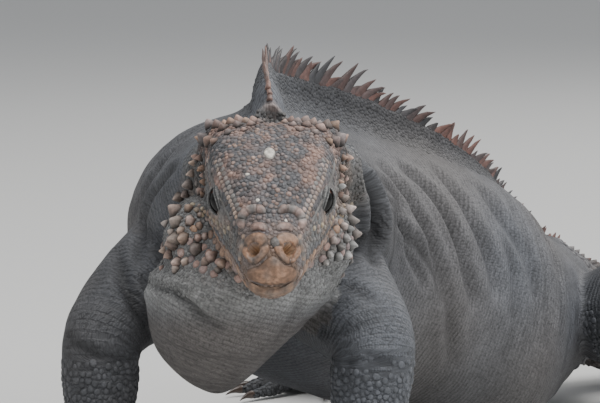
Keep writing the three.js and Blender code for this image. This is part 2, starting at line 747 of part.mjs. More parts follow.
const pelvis = trunkSections.at(-1);
for (const [name, side] of Object.entries(sides)) {
  const { forward, left } = axesOf(pelvis.turn, 0, 0);
  const local = ({ out, ahead }) => forward.clone().multiplyScalar(ahead).addScaledVector(left, out * side);
  const place = (joint) => {
    const moved = local(joint);
    return [pelvis.x + moved.x, pelvis.y + moved.y, joint.high];
  };
  const { hip, knee, ankle, point, radii, shank } = hindLeg;
  const names = [`thigh_${name}`, `shank_${name}`, `foot_${name}`];
  leg(names, place(hip), place(knee), place(ankle), local(point).toArray(), radii, shank, foot);
}

export default iguana;
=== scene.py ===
import itertools
import math

import bpy
import numpy as np
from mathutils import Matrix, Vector
from mathutils.bvhtree import BVHTree
from mathutils.kdtree import KDTree


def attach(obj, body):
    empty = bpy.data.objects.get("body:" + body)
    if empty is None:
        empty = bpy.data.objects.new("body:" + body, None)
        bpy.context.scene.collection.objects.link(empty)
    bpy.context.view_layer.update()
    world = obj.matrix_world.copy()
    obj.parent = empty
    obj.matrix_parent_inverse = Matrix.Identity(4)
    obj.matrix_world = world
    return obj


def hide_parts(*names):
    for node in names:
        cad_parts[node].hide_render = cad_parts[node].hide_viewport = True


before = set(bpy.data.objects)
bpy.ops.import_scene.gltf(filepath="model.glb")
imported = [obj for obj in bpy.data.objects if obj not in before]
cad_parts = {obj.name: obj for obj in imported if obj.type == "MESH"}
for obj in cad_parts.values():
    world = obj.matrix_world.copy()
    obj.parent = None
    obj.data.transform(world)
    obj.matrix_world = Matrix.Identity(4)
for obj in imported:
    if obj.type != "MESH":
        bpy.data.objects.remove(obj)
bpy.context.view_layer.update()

# A rock iguana on its forelegs. Forms are worked out in millimetres in the frame of the solids,
# and become metres when a mesh is made.
mm = 0.001


def along(values, p):
    # a smooth value from a list, with p from 0 to 1 over the whole list
    v = np.asarray(values, float)
    last = len(v) - 1
    place = np.clip(np.asarray(p, float), 0, 1) * last
    i = np.minimum(place.astype(int), last - 1)
    t = place - i
    a, b, c, d = v[np.clip(i - 1, 0, last)], v[i], v[i + 1], v[np.clip(i + 2, 0, last)]
    if v.ndim == 2:
        t = t[..., None]
    return b + 0.5 * t * (c - a + t * (2 * a - 5 * b + 4 * c - d + t * (3 * (b - c) + d - a)))


def smooth(x, low, high):
    t = np.clip((np.asarray(x, float) - low) / (high - low), 0, 1)
    return t * t * (3 - 2 * t)


def bell(x, wide):
    # 1 at nought, falling away on both sides
    return np.exp(-((x / wide) ** 2))


def unit(v):
    v = np.asarray(v, float)
    return v / np.maximum(np.linalg.norm(v, axis=-1, keepdims=True), 1e-9)


def turned(v, axis, degrees):
    # v turned about axis, each row by its own angle
    a = np.radians(degrees)[..., None] if np.ndim(degrees) else math.radians(degrees)
    onAxis = axis * (v * axis).sum(-1, keepdims=True)
    return v * np.cos(a) + np.cross(axis, v) * np.sin(a) + onAxis * (1 - np.cos(a))


def sectionAxes(turn, lean, roll):
    # ahead, left and up of a body section, from its heading, its slope and its tilt in degrees
    turn, lean, roll = np.broadcast_arrays(
        *(np.atleast_1d(np.asarray(a, float)) for a in (turn, lean, roll))
    )
    h = np.radians(turn)
    forward = np.stack([-np.sin(h), -np.cos(h), 0 * h], -1)
    up = np.zeros_like(forward)
    up[:, 2] = 1
    left = np.cross(up, forward)
    forward, up = turned(forward, left, lean), turned(up, left, lean)
    left, up = turned(left, forward, -roll), turned(up, forward, -roll)
    return forward, left, up


def deselect():
    if bpy.context.object and bpy.context.object.mode != "OBJECT":
        bpy.ops.object.mode_set(mode="OBJECT")
    bpy.ops.object.select_all(action="DESELECT")


def choose(obj):
    deselect()
    obj.select_set(True)
    bpy.context.view_layer.objects.active = obj


def faceOutward(obj):
    choose(obj)
    bpy.ops.object.mode_set(mode="EDIT")
    bpy.ops.mesh.select_all(action="SELECT")
    bpy.ops.mesh.normals_make_consistent(inside=False)
    bpy.ops.object.mode_set(mode="OBJECT")


def meshObject(name, points, faces):
    # points in millimetres
    mesh = bpy.data.meshes.new(name)
    mesh.from_pydata((np.asarray(points, float) * mm).tolist(), [], [tuple(map(int, f)) for f in faces])
    mesh.update()
    obj = bpy.data.objects.new(name, mesh)
    bpy.context.scene.collection.objects.link(obj)
    return obj


def tube(name, rings):
    # a closed skin over rings of points, each ring with the same number of corners
    count, corners = rings.shape[:2]
    points = np.concatenate([rings.reshape(-1, 3), rings[0].mean(0)[None], rings[-1].mean(0)[None]])
    faces = []
    for i in range(count - 1):
        for j in range(corners):
            k = (j + 1) % corners
            faces.append((i * corners + j, i * corners + k, (i + 1) * corners + k, (i + 1) * corners + j))
    first, final = count * corners, count * corners + 1
    for j in range(corners):
        k = (j + 1) % corners
        faces.append((first, k, j))
        faces.append((final, (count - 1) * corners + j, (count - 1) * corners + k))
    obj = meshObject(name, points, faces)
    faceOutward(obj)
    return obj


def pointsOf(obj):
    flat = np.empty(len(obj.data.vertices) * 3)
    obj.data.vertices.foreach_get("co", flat)
    return flat.reshape(-1, 3) / mm


def normalsOf(obj):
    flat = np.empty(len(obj.data.vertices) * 3)
    obj.data.vertex_normals.foreach_get("vector", flat)
    return flat.reshape(-1, 3)


def movePoints(obj, points):
    obj.data.vertices.foreach_set("co", (points * mm).ravel())
    obj.data.update()


def applyAll(obj):
    choose(obj)
    for modifier in list(obj.modifiers):
        bpy.ops.object.modifier_apply(modifier=modifier.name)


def ballOf(name, segments, rings):
    # a ball at the origin, and its points on a radius of 1
    deselect()
    bpy.ops.mesh.primitive_uv_sphere_add(segments=segments, ring_count=rings, radius=1)
    ball = bpy.context.object
    ball.name = name
    return ball, pointsOf(ball) * mm


def oneSkin(forms, name, voxel, relaxing):
    # the forms joined, remeshed as one closed skin and relaxed
    deselect()
    for form in forms:
        form.select_set(True)
    bpy.context.view_layer.objects.active = forms[0]
    bpy.ops.object.join()
    joined = bpy.context.object
    joined.name = joined.data.name = name
    remesh = joined.modifiers.new("remesh", "REMESH")
    remesh.mode = "VOXEL"
    remesh.voxel_size = voxel * mm
    relax = joined.modifiers.new("relax", "SMOOTH")
    relax.factor, relax.iterations = 0.5, relaxing
    applyAll(joined)
    return joined


def hornTemplate(cuts, profile, thin, flat):
    # a horn that tapers from a round root, cut across where it may bend
    deselect()
    bpy.ops.mesh.primitive_cylinder_add(vertices=10, radius=1, depth=1)
    horn = bpy.context.object
    bpy.ops.object.mode_set(mode="EDIT")
    for cut in cuts:
        bpy.ops.mesh.select_all(action="SELECT")
        bpy.ops.mesh.bisect(plane_co=(0, 0, cut), plane_no=(0, 0, 1))
    bpy.ops.object.mode_set(mode="OBJECT")
    points = pointsOf(horn) * mm + [0, 0, 0.5]
    taper = np.interp(points[:, 2], *profile)
    points[:, 0] *= taper ** flat * thin
    points[:, 1] *= taper
    movePoints(horn, points / mm)
    return templateOf(horn)


def templateOf(obj):
    # the points and faces of a form that was modelled once, and the form itself removed
    points = pointsOf(obj) * mm
    faces = [tuple(f.vertices) for f in obj.data.polygons]
    bpy.data.objects.remove(obj, do_unlink=True)
    return points, faces


snoutTip = np.array([-94.0, -275.0, 100.0])
headDrop = 26
headForm = {
    "back": [-1, 1.5, 8, 20, 32, 44, 58, 72, 84, 93],
    "wide": [5.5, 10.5, 13, 16.5, 21.5, 25.5, 27.5, 29, 32, 35],
    "top": [8, 14.5, 20, 25, 30, 34.5, 36.5, 36, 33.5, 31],
    "base": [-3.5, -7.5, -10, -13, -16, -19, -25, -32, -37, -39],
    "level": [2, 3, 4, 4, 6, 8, 8, 5, 3, -4],
    "crown": [2, 2.2, 2.4, 2.6, 3, 3.4, 3.8, 4, 4, 2],
    "chin": [2, 2, 2, 2, 2, 2, 2.2, 2.4, 2.4, 2.2],
}
trunkForm = {
    "x": [-96, -97, -55, -8, 16, 39],
    "y": [-152, -108, -52, 0, 46, 90],
    "turn": [6, 20, 36, 36, 28, 26],
    "lean": [8, 0, 0, 0, 0, 0],
    "roll": [0, 8, 10, 9, 9, 6],
    "wide": [54, 66, 62, 55, 43, 33],
    "top": [163, 162, 150, 128, 102, 84],
    "base": [72, 44, 18, -0.4, 0.8, 10],
    "level": [114, 102, 78, 57, 49, 47],
    "ridge": [13, 13, 9, 5, 4, 3],
    "crown": [2, 2, 2, 2, 2, 2],
    "chin": [2, 2.2, 2.4, 3, 2.6, 2],
}
tailForm = {
    "length": 640,
    "bends": [[0, 26], [60, 44], [130, 64], [230, 84], [340, 84], [440, 62], [540, 38], [640, 22]],
    "root": (27, 28, 46),  # half width, half height, height of its middle
    "tip": (1.6, 1.8),
    "down": 120,
    "step": 10.0,
    "taper": 0.86,
    "leave": 45,
}

headForward, headLeft, headUp = (a[0] for a in sectionAxes(0, headDrop, 0))


def headPlace(back, side, high):
    back, side, high = (np.asarray(a, float)[..., None] for a in (back, side, high))
    return snoutTip - headForward * back + headLeft * side + headUp * high


neckFront = headPlace(headForm["back"][-1], 0, headForm["level"][-1])
neckStart = {
    "x": neckFront[0], "y": neckFront[1], "level": neckFront[2], "turn": 0, "lean": headDrop,
    "roll": 0, "ridge": 0, "wide": headForm["wide"][-1],
    "top": neckFront[2] + headForm["top"][-1] - headForm["level"][-1],
    "base": neckFront[2] + headForm["base"][-1] - headForm["level"][-1],
    "crown": 2, "chin": 2.2,
}
bodyForm = {key: [neckStart[key]] + values for key, values in trunkForm.items()}
pelvis = {key: values[-1] for key, values in trunkForm.items()}


def ringsOf(centre, axes, wide, rise, fall, ridge, crown, chin, angles):
    # sections with a squarer crown or chin where those are above 2, and a ridge on top
    _, left, up = axes
    a = np.radians(angles)[None]
    c, s = np.cos(a), np.sin(a)
    wide, rise, fall, ridge, crown, chin = (
        np.asarray(v, float)[:, None] for v in (wide, rise, fall, ridge, crown, chin)
    )
    square = np.where(s > 0, crown, chin)
    side = wide * np.sign(c) * np.abs(c) ** (2 / square)
    high = np.where(s > 0, rise, fall) * np.sign(s) * np.abs(s) ** (2 / square)
    high = high + np.where(s > 0, ridge * np.exp(-((side / (4.5 + 0.35 * ridge)) ** 2)), 0)
    return centre[:, None] + left[:, None] * side[..., None] + up[:, None] * high[..., None]


def headRings(p, angles):
    g = {key: along(values, p) for key, values in headForm.items()}
    centre = headPlace(g["back"], 0 * g["back"], g["level"])
    axes = [np.repeat(a[None], len(p), 0) for a in (headForward, headLeft, headUp)]
    return ringsOf(
        centre, axes, g["wide"], g["top"] - g["level"], g["level"] - g["base"], 0 * p, g["crown"],
        g["chin"], angles,
    )


def bodyRings(p, angles):
    g = {key: along(values, p) for key, values in bodyForm.items()}
    centre = np.stack([g["x"], g["y"], g["level"]], -1)
    axes = sectionAxes(g["turn"], g["lean"], g["roll"])
    return ringsOf(
        centre, axes, g["wide"], g["top"] - g["level"], g["level"] - g["base"], g["ridge"], g["crown"],
        g["chin"], angles,
    )


# The tail's middle line, stepped out from the pelvis.
tailSteps = np.arange(0, tailForm["length"] + 1, tailForm["step"])
tailTurns = np.interp(tailSteps, *np.transpose(tailForm["bends"]))
tailWays = sectionAxes(tailTurns, 0, 0)[0][:, :2] * -tailForm["step"]
tailLine = np.array([pelvis["x"], pelvis["y"]]) + np.concatenate([[[0, 0]], np.cumsum(tailWays[:-1], 0)])


def tailSizes(far):
    p = far / tailForm["length"]
    taper = (1 - p) ** tailForm["taper"]
    leave = smooth(far, 0, tailForm["leave"])
    leaving = lambda a, b: a + (b - a) * leave
    wide, girth = (tip + (root - tip) * taper for tip, root in zip(tailForm["tip"], tailForm["root"]))
    wide = leaving(pelvis["wide"], wide)
    rise, fall = leaving(pelvis["top"] - pelvis["level"], girth), leaving(
        pelvis["level"] - pelvis["base"], girth
    )
    resting = fall - 0.5 * np.clip(taper * 3, 0, 1)
    held = leaving(pelvis["level"], tailForm["root"][2])
    level = held + (resting - held) * smooth(far, 20, tailForm["down"])
    centre = np.concatenate([along(tailLine, p), level[:, None]], -1)
    return centre, sectionAxes(along(tailTurns, p), 0, 6 * (1 - leave)), wide, rise, fall, 3 * (1 - p)


def tailRings(far, angles):
    centre, axes, wide, rise, fall, ridge = tailSizes(far)
    two = np.full(len(far), 2.0)
    return ringsOf(centre, axes, wide, rise, fall, ridge, two, two, angles)


def limbRings(points, radii, p, flat=1.0, corners=28):
    centre = along(points, p)
    ahead = unit(along(points, np.clip(p + 0.01, 0, 1)) - along(points, np.clip(p - 0.01, 0, 1)))
    across = unit(np.cross(ahead, [0, 0, -1.0]))
    over = np.cross(across, ahead)
    size = along(radii, p) * np.minimum(1, np.sin(np.pi * np.clip(p, 0.004, 0.996)) ** 0.42 * 1.15)
    a = np.arange(corners) * 2 * np.pi / corners
    ring = np.cos(a)[None, :, None] * across[:, None] * flat + np.sin(a)[None, :, None] * over[:, None]
    return centre[:, None] + ring * size[:, None, None]


view = {"elevation": 5.0, "distance": 1700.0, "lens": 243.0, "sensor": 36, "aside": 12.2, "above": 35.5}
e = math.radians(view["elevation"])
lookAhead = np.array([0, math.cos(e), -math.sin(e)])
lookUp = np.array([0, math.sin(e), math.cos(e)])
lookRight = np.array([1.0, 0, 0])
eyePoint = snoutTip + view["aside"] * lookRight + view["above"] * lookUp - view["distance"] * lookAhead
bpy.ops.object.camera_add(location=(eyePoint * mm).tolist(), rotation=(math.radians(90) - e, 0, 0))
camera = bpy.context.object
camera.data.lens = view["lens"]
camera.data.sensor_width = view["sensor"]
camera.data.sensor_fit = "HORIZONTAL"
camera.data.clip_end = 100
bpy.context.scene.camera = camera

# the picture's middle and its pixels for each unit of slope, so that spots can be named by pixel
picture = {"x": 300, "y": 201.5, "scale": 4050}


def pictureRay(x, y):
    return unit(lookAhead * picture["scale"] + lookRight * (x - picture["x"]) + lookUp * (picture["y"] - y))


def plainMaterial(name, colour, roughness):
    material = bpy.data.materials.new(name)
    material.use_nodes = True
    shader = material.node_tree.nodes["Principled BSDF"]
    shader.inputs["Base Color"].default_value = (*colour, 1)
    shader.inputs["Roughness"].default_value = roughness
    return material


deselect()
bpy.ops.mesh.primitive_plane_add(size=60, location=(0, 0, 0))
floor = bpy.context.object
floor.name = "studioFloor"
floor.data.materials.append(plainMaterial("paleFloor", (0.62, 0.62, 0.61), 0.9))

lights = {
    "sky": {
        "at": (0.45, -0.75, 2.5), "aim": (-0.05, -0.1, 0.08), "size": 1.7, "power": 72,
        "colour": (1.0, 0.985, 0.96),
    },
    "side": {
        "at": (2.2, -1.3, 1.2), "aim": (0.0, -0.1, 0.1), "size": 1.6, "power": 22,
        "colour": (0.95, 0.97, 1.0),
    },
    "rim": {
        "at": (1.4, 1.9, 1.7), "aim": (0.0, 0.0, 0.1), "size": 1.5, "power": 26, "colour": (1.0, 0.98, 0.95)
    },
}
for name, light in lights.items():
    bpy.ops.object.light_add(type="AREA", location=light["at"])
    lamp = bpy.context.object
    lamp.name = name + "Light"
    lamp.data.size = light["size"]
    lamp.data.energy = light["power"]
    lamp.data.color = light["colour"]
    lamp.rotation_euler = (Vector(light["aim"]) - Vector(light["at"])).to_track_quat("-Z", "Y").to_euler()
world = bpy.data.worlds.new("studioAir")
world.use_nodes = True
world.node_tree.nodes["Background"].inputs["Color"].default_value = (0.78, 0.8, 0.83, 1)
world.node_tree.nodes["Background"].inputs["Strength"].default_value = 0.6
bpy.context.scene.world = world
print("camera and light set")

skin = {
    "corners": 96,
    "voxel": 2.0,
    "offFloor": 0.3,
    "arms": {
        "right": {
            "points": [
                [-120, -106, 96], [-134, -116, 96], [-152, -139, 84], [-169, -166, 67], [-171, -171, 44],
                [-171, -176, 20], [-171, -177, 8],
            ],
            "radii": [20, 26, 23.5, 18.2, 17, 12.5, 9.5],
        },
        "left": {
            "points": [
                [-84, -124, 86], [-74, -140, 86], [-62, -163, 80], [-50, -187, 65], [-51, -190, 43],
                [-52, -192, 20], [-52, -193, 8],
            ],
            "radii": [22, 27, 25, 19.4, 17.6, 12.8, 9.5],
        },
    },
    "legs": {
        "hip": (27, 4, 46), "knee": (96, 34, 58), "ankle": (112, -26, 17),
        "radii": [26, 29, 25, 17, 15.5, 11, 9],
    },
}
angles = np.arange(skin["corners"]) * 360 / skin["corners"] - 90
angles = angles + 9 * np.sin(np.radians(2 * (angles + 90)))  # closer together along the ridge and the keel

pieces = [
    tube("headForm", headRings(np.linspace(0, 1, 44), angles)),
    tube("trunkForm", bodyRings(np.linspace(0, 1, 90), angles)),
    tube("tailForm", tailRings(np.linspace(0, tailForm["length"], 130) * 0.9995, angles)),
]
# joins: short plugs that carry one form into the next
pieces.append(tube(
    "napeJoin",
    np.concatenate(
        [headRings(np.linspace(0.93, 1, 5), angles), bodyRings(np.linspace(0.004, 0.05, 5), angles)]
    ),
))
pieces.append(tube(
    "rumpJoin",
    np.concatenate(
        [bodyRings(np.linspace(0.95, 1, 5), angles), tailRings(np.linspace(0.5, 24, 5), angles)]
    ),
))

rumpForward, rumpLeft, _ = (a[0] for a in sectionAxes(pelvis["turn"], 0, 0))


def legPlace(out, ahead, high, side):
    place = np.array([pelvis["x"], pelvis["y"], 0.0]) + rumpForward * ahead + rumpLeft * out * side
    place[2] = high
    return place


limbLines = {}
for side, arm in skin["arms"].items():
    limbLines["arm_" + side] = (np.array(arm["points"], float), arm["radii"])
for side, sign in {"left": 1, "right": -1}.items():
    hip, knee, ankle = (legPlace(*skin["legs"][key], sign) for key in ("hip", "knee", "ankle"))
    low = ankle - [0, 0, 8]
    line = np.array([
        hip * 1.2 - knee * 0.2, hip * 0.75 + knee * 0.25, hip * 0.35 + knee * 0.65, knee,
        knee * 0.5 + ankle * 0.5, ankle, low,
    ])
    limbLines["leg_" + side] = (line, skin["legs"]["radii"])
for name, (line, radii) in limbLines.items():
    pieces.append(tube(name, limbRings(line, radii, np.linspace(0, 1, 60))))

dewlapForm = {
    "x": [-98, -106, -112, -118, -119, -118],
    "y": [-200, -198, -197, -198, -200, -201],
    "z": [116, 95, 80, 64, 51, 44.5],
    "across": [30, 42, 37, 27, 14, 3],
    "deep": [42, 50, 43, 31, 16, 4],
}
g = {key: along(values, np.linspace(0, 1, 40)) for key, values in dewlapForm.items()}
turn = np.arange(64) * 2 * np.pi / 64
bag = np.stack(
    [
        g["x"][:, None] + g["across"][:, None] * np.cos(turn),
        g["y"][:, None] + g["deep"][:, None] * np.sin(turn),
        g["z"][:, None] + 0 * turn,
    ],
    -1,
)
pieces.append(tube("dewlapForm", bag))

# The fold of skin that carries the neck's spines, and the low ridge behind it.
foldForm = {
    "p": [0.012, 0.05, 0.09, 0.13, 0.18, 0.215, 0.25, 0.3, 0.42, 0.58, 0.74],
    "high": [0.5, 3.5, 7.5, 9.8, 9.2, 6.2, 3.4, 2.4, 2, 1.2, 0.3],
    "half": [10, 9, 7.6, 6, 5, 4.6, 4.4, 4.2, 4, 3.6, 3],
}
g = {
    key: np.interp(np.linspace(0.012, 0.74, 90), foldForm["p"], values) for key, values in foldForm.items()
}
ridgeLine = bodyRings(g["p"], np.array([90.0]))[:, 0]
ridgeAxes = sectionAxes(*(along(bodyForm[key], g["p"]) for key in ("turn", "lean", "roll")))
turn = np.arange(20) * 2 * np.pi / 20
across = g["half"][:, None] * np.cos(turn) * (1 - 0.42 * np.sin(turn))
upward = (g["high"][:, None] + 5) * np.maximum(np.sin(turn), -0.4) - 5 + 5 * (
    1 - np.exp(-g["high"][:, None])
)
_, ridgeLeft, ridgeUp = (axis[:, None] for axis in ridgeAxes)
pieces.append(
    tube("ridgeFold", ridgeLine[:, None] + across[..., None] * ridgeLeft + upward[..., None] * ridgeUp)
)

jowls = {
    "right": {"back": 66, "side": -28, "high": -19, "radii": (24, 19.5, 21)},
    "left": {"back": 66, "side": 22, "high": -16, "radii": (23, 14, 20)},
}
for side, jowl in jowls.items():
    ball, shape = ballOf("jowl_" + side, 48, 32)
    reaches = np.stack([headForward, headLeft, headUp]) * np.array(jowl["radii"])[:, None]
    movePoints(ball, headPlace(jowl["back"], jowl["side"], jowl["high"]) + shape @ reaches)
    pieces.append(ball)

body = oneSkin(pieces, "iguanaSkin", skin["voxel"], 6)
spots = pointsOf(body)
spots[:, 2] = np.maximum(spots[:, 2], skin["offFloor"])
movePoints(body, spots)


def bodyCentre(p):
    g = {key: along(bodyForm[key], p) for key in ("x", "y", "level", "top", "base", "wide")}
    centre = np.stack([g["x"], g["y"], 0.5 * (g["top"] + g["base"])], -1)
    return centre, 0.5 * (g["wide"] + 0.5 * (g["top"] - g["base"]))


def reachOf(centre):
    return np.concatenate([[0], np.cumsum(np.linalg.norm(np.diff(centre, axis=0), axis=1))])


# Each part of the body is read along its middle line, so that a spot on the skin has a part,
# a distance along it and a way round it, in degrees from the back.
readings = {}
p = np.linspace(0.35, 1, 40)
g = {key: along(values, p) for key, values in headForm.items()}
headLine = headPlace(g["back"], 0 * p, 0.5 * (g["top"] + g["base"]))
readings["head"] = (headLine, g["wide"], np.repeat(headUp[None], 40, 0), g["back"] - 93)
p = np.linspace(0, 1, 160)
centre, girth = bodyCentre(p)
bodyReach = reachOf(centre)
trunkOver = sectionAxes(along(bodyForm["turn"], p), 0, along(bodyForm["roll"], p))[2]
readings["trunk"] = (centre, girth, trunkOver, bodyReach)
p = np.linspace(0, tailForm["length"], 160)
centre, axes, wide, rise, _, _ = tailSizes(p)
readings["tail"] = (centre, np.maximum(0.5 * (wide + rise), 6), axes[2], bodyReach[-1] + p)
for name, (line, radii) in limbLines.items():
    p = np.linspace(0.1, 1, 60)
    centre = along(line, p)
    ahead = unit(np.gradient(centre, axis=0))
    over = np.cross(unit(np.cross(ahead, [0, 0, -1.0])), ahead)
    readings[name] = (centre, along(radii, p), over, reachOf(centre))
p = np.linspace(0, 1, 40)
g = {key: along(values, p) for key, values in dewlapForm.items()}
centre = np.stack([g["x"], g["y"], g["z"]], -1)
readings["dewlap"] = (
    centre, np.maximum(g["across"], 8), np.repeat(np.array([[0, 1.0, 0]]), 40, 0), 116 - g["z"]
)
partNames = list(readings)
limbParts = [i for i, name in enumerate(partNames) if name in limbLines]


def readAs(points, name):
    # nearness to a part's line, distance along it, way round it and the line's girth there
    line, girth, over, reach = readings[name]
    near, row = np.full(len(points), 1e9), np.zeros(len(points), int)
    for start in range(0, len(line), 20):
        gaps = np.linalg.norm(
            points[:, None] - line[None, start:start + 20], axis=2
        ) / girth[None, start:start + 20]
        k = gaps.argmin(1)
        best = gaps[np.arange(len(points)), k]
        closer = best < near
        near[closer], row[closer] = best[closer], k[closer] + start
    if name in limbLines:
        near = near * np.where(reach[row] < 22, 1.35, 1)  # a limb's root belongs to the trunk
    ahead = unit(np.gradient(line, axis=0))[row]
    out = points - line[row]
    far = reach[row] + (out * ahead).sum(1)
    out = unit(out - ahead * (out * ahead).sum(1, keepdims=True))
    side = np.cross(ahead, over[row])
    return near, far, np.degrees(np.arctan2((out * side).sum(1), (out * over[row]).sum(1))), girth[row]


def readSkin(points):
    best = np.full(len(points), 1e9)
    part, far, turn = np.zeros(len(points), int), np.zeros(len(points)), np.zeros(len(points))
    for i, name in enumerate(partNames):
        near, reach, way, _ = readAs(points, name)
        take = near < best
        best[take], part[take], far[take], turn[take] = near[take], i, reach[take], way[take]
    return part, far, turn


def headLocal(points):
    rel = points - snoutTip
    return -(rel @ headForward), rel @ headLeft, rel @ headUp


skewAxes = np.array([[0.64, 0.48, -0.6], [-0.6, 0.8, 0.0], [0.48, 0.36, 0.8]])


def drift(points, size, seed):
    # a smooth random value from -1 to 1, that changes over about size millimetres
    q = np.asarray(points, float) @ skewAxes / size + seed * 17.37
    i = np.floor(q).astype(np.int64)
    f = q - i
    f = f * f * (3 - 2 * f)
    total = np.zeros(len(q))
    for corner in range(8):
        step = np.array([corner & 1, corner >> 1 & 1, corner >> 2 & 1])
        c = i + step
        key = (c[:, 0] * 73856093) ^ (c[:, 1] * 19349663) ^ (c[:, 2] * 83492791) ^ (seed * 2654435)
        key = ((key & 0xFFFFFF) * 1103515245 + 12345) & 0x7FFFFFFF
        key = ((key ^ (key >> 11)) * 48271) & 0x7FFFFFFF
        total += key / 0x7FFFFFFF * np.where(step, f, 1 - f).prod(1)
    return total * 2 - 1


class Surface:
    # the skin as it stands, for rays and for smooth normals
    def __init__(self, obj):
        self.points, self.normals = pointsOf(obj), normalsOf(obj)
        self.faces = np.array([tuple(f.vertices) for f in obj.data.polygons])
        self.tree = BVHTree.FromPolygons(self.points.tolist(), self.faces.tolist())

    def normalAt(self, point, face):
        corners = self.faces[face]
        weight = 1 / (0.3 + np.linalg.norm(self.points[corners] - point, axis=1))
        return unit((self.normals[corners] * weight[:, None]).sum(0))

    def cast(self, start, way):
        place, _, face, _ = self.tree.ray_cast(Vector(start), Vector(way))
        if place is None:
            return None
        place = np.array(place)
        return place, self.normalAt(place, face)

    def nearest(self, point):
        place, _, face, _ = self.tree.find_nearest(Vector(point))
        place = np.array(place)
        return place, self.normalAt(place, face)

    def seen(self, x, y):
        # the spot of skin that the camera sees at a point of the picture
        return self.cast(eyePoint, pictureRay(x, y))

    def trunkSpot(self, far, turn):
        # the spot of the trunk that is so far along it and so many degrees round from the back
        line, _, over, reach = readings["trunk"]
        at = np.array([np.interp(far, reach, line[:, k]) for k in range(3)])
        ahead = unit(np.gradient(line, axis=0))[np.searchsorted(reach, min(far, reach[-1] - 1))]
        up = unit(np.array([np.interp(far, reach, over[:, k]) for k in range(3)]))
        way = turned(unit(up - ahead * (up @ ahead)), ahead, -turn)
        return self.cast(at + way * 150, -way)


# Creases: each runs along the skin, from points of the picture on the side that shows, and
# from distance and way round where it doesn't.
creases = {
    "seenLines": [  # depth, width, whether the far side has its twin, points of the picture
        (4.8, 4.2, True, [(350, 150), (361, 169), (370, 190), (375, 213), (377, 240), (373, 262)]),
        (1.9, 3.6, True, [(383, 168), (402, 190), (418, 215), (430, 240), (440, 268), (447, 300)]),
        (2.0, 3.4, True, [(372, 172), (388, 196), (400, 222), (409, 250), (424, 282)]),
        (2.4, 3.0, False, [(396, 224), (409, 236), (422, 253), (434, 274), (440, 300)]),
        (2.1, 4.2, True, [(405, 170), (428, 190), (444, 214), (457, 240), (466, 268), (474, 300)]),
        (1.7, 4.4, True, [(437, 172), (458, 196), (474, 224), (488, 254), (497, 290)]),
        (1.3, 5.0, True, [(478, 188), (504, 220), (522, 252), (534, 290)]),
        (1.0, 5.0, True, [(500, 184), (530, 214), (552, 250), (560, 290)]),
        (1.2, 4.5, True, [(448, 300), (452, 330), (452, 365)]),
        (2.6, 2.6, False, [(143, 282), (152, 286), (163, 289), (174, 293), (185, 301), (196, 311),
        (207, 320), (219, 326)]),
        (0.8, 2.6, False, [(236, 292), (222, 306), (212, 318)]),
        (1.0, 3.4, False, [(300, 298), (296, 312), (284, 330), (270, 350)]),
        (1.8, 3.0, False, [(152, 200), (144, 222), (139, 246), (137, 262)]),
        (2.0, 3.2, False, [(176, 166), (160, 184), (147, 206)]),
        (1.6, 3.6, False, [(196, 128), (174, 150), (152, 178), (138, 206)]),
        (1.2, 3.0, False, [(302, 322), (322, 330), (345, 330), (368, 322)]),
        (1.4, 3.0, False, [(326, 292), (340, 288), (356, 290), (372, 300)]),
        (1.6, 2.6, False, [(330, 372), (352, 362), (374, 360), (398, 366)]),
        (1.0, 2.4, False, [(322, 384), (344, 374), (366, 371), (392, 378)]),
        (1.8, 2.8, False, [(68, 338), (84, 350), (104, 358), (126, 362)]),
        (1.0, 2.4, False, [(66, 352), (84, 364), (106, 372), (128, 374)]),
        (2.6, 3.6, False, [(118, 250), (124, 280), (136, 306), (148, 330)]),
    ],
    "flank": {"from": 205, "to": 300, "step": 12, "deep": 1.1, "wide": 4.4, "slope": 0.55},
    "nape": {"back": 92, "side": 25, "deep": 3.4, "wide": 2.5},
}
base = Surface(body)
print("skin read:", len(base.points), "points")
creaseLines = []


def addCrease(line, deep, wide):
    line = np.array([q for q in line if q is not None])
    if len(line) < 3:
        return
    fine = along(line, np.linspace(0, 1, 8 * len(line)))
    creaseLines.append((fine, deep * np.sin(np.pi * np.linspace(0.06, 0.94, len(fine))) ** 0.6, wide))


for deep, wide, twin, points in creases["seenLines"]:
    line = [h[0] for h in (base.seen(*q) for q in points) if h]
    addCrease(line, deep, wide)
    if twin and line:
        _, far, turn, _ = readAs(np.array(line), "trunk")
        twins = [base.trunkSpot(f, -t) for f, t in zip(far, turn)]
        addCrease([h[0] if h else None for h in twins], deep * 0.9, wide)
flank = creases["flank"]
rng = np.random.default_rng(11)
for sign in (1, -1):
    for far in np.arange(flank["from"], flank["to"], flank["step"]):
        start, wander = far + rng.uniform(-4, 4), rng.uniform(-6, 6)
        turns = np.linspace(rng.uniform(28, 42), rng.uniform(95, 120), 7)
        fars = start + (turns - 40) * flank["slope"] * 0.35 + wander * np.sin(turns / 18)
        line = [base.trunkSpot(f, t * sign) for f, t in zip(fars, turns)]
        addCrease([h[0] if h else None for h in line], flank["deep"] * rng.uniform(0.5, 1.1), flank["wide"])
nape = creases["nape"]
sides = np.linspace(-nape["side"], nape["side"], 9)
napeLine = headPlace(nape["back"] + 0.012 * sides * sides, sides, 32 - 0.011 * sides * sides)
addCrease([base.nearest(q)[0] for q in napeLine], nape["deep"], nape["wide"])

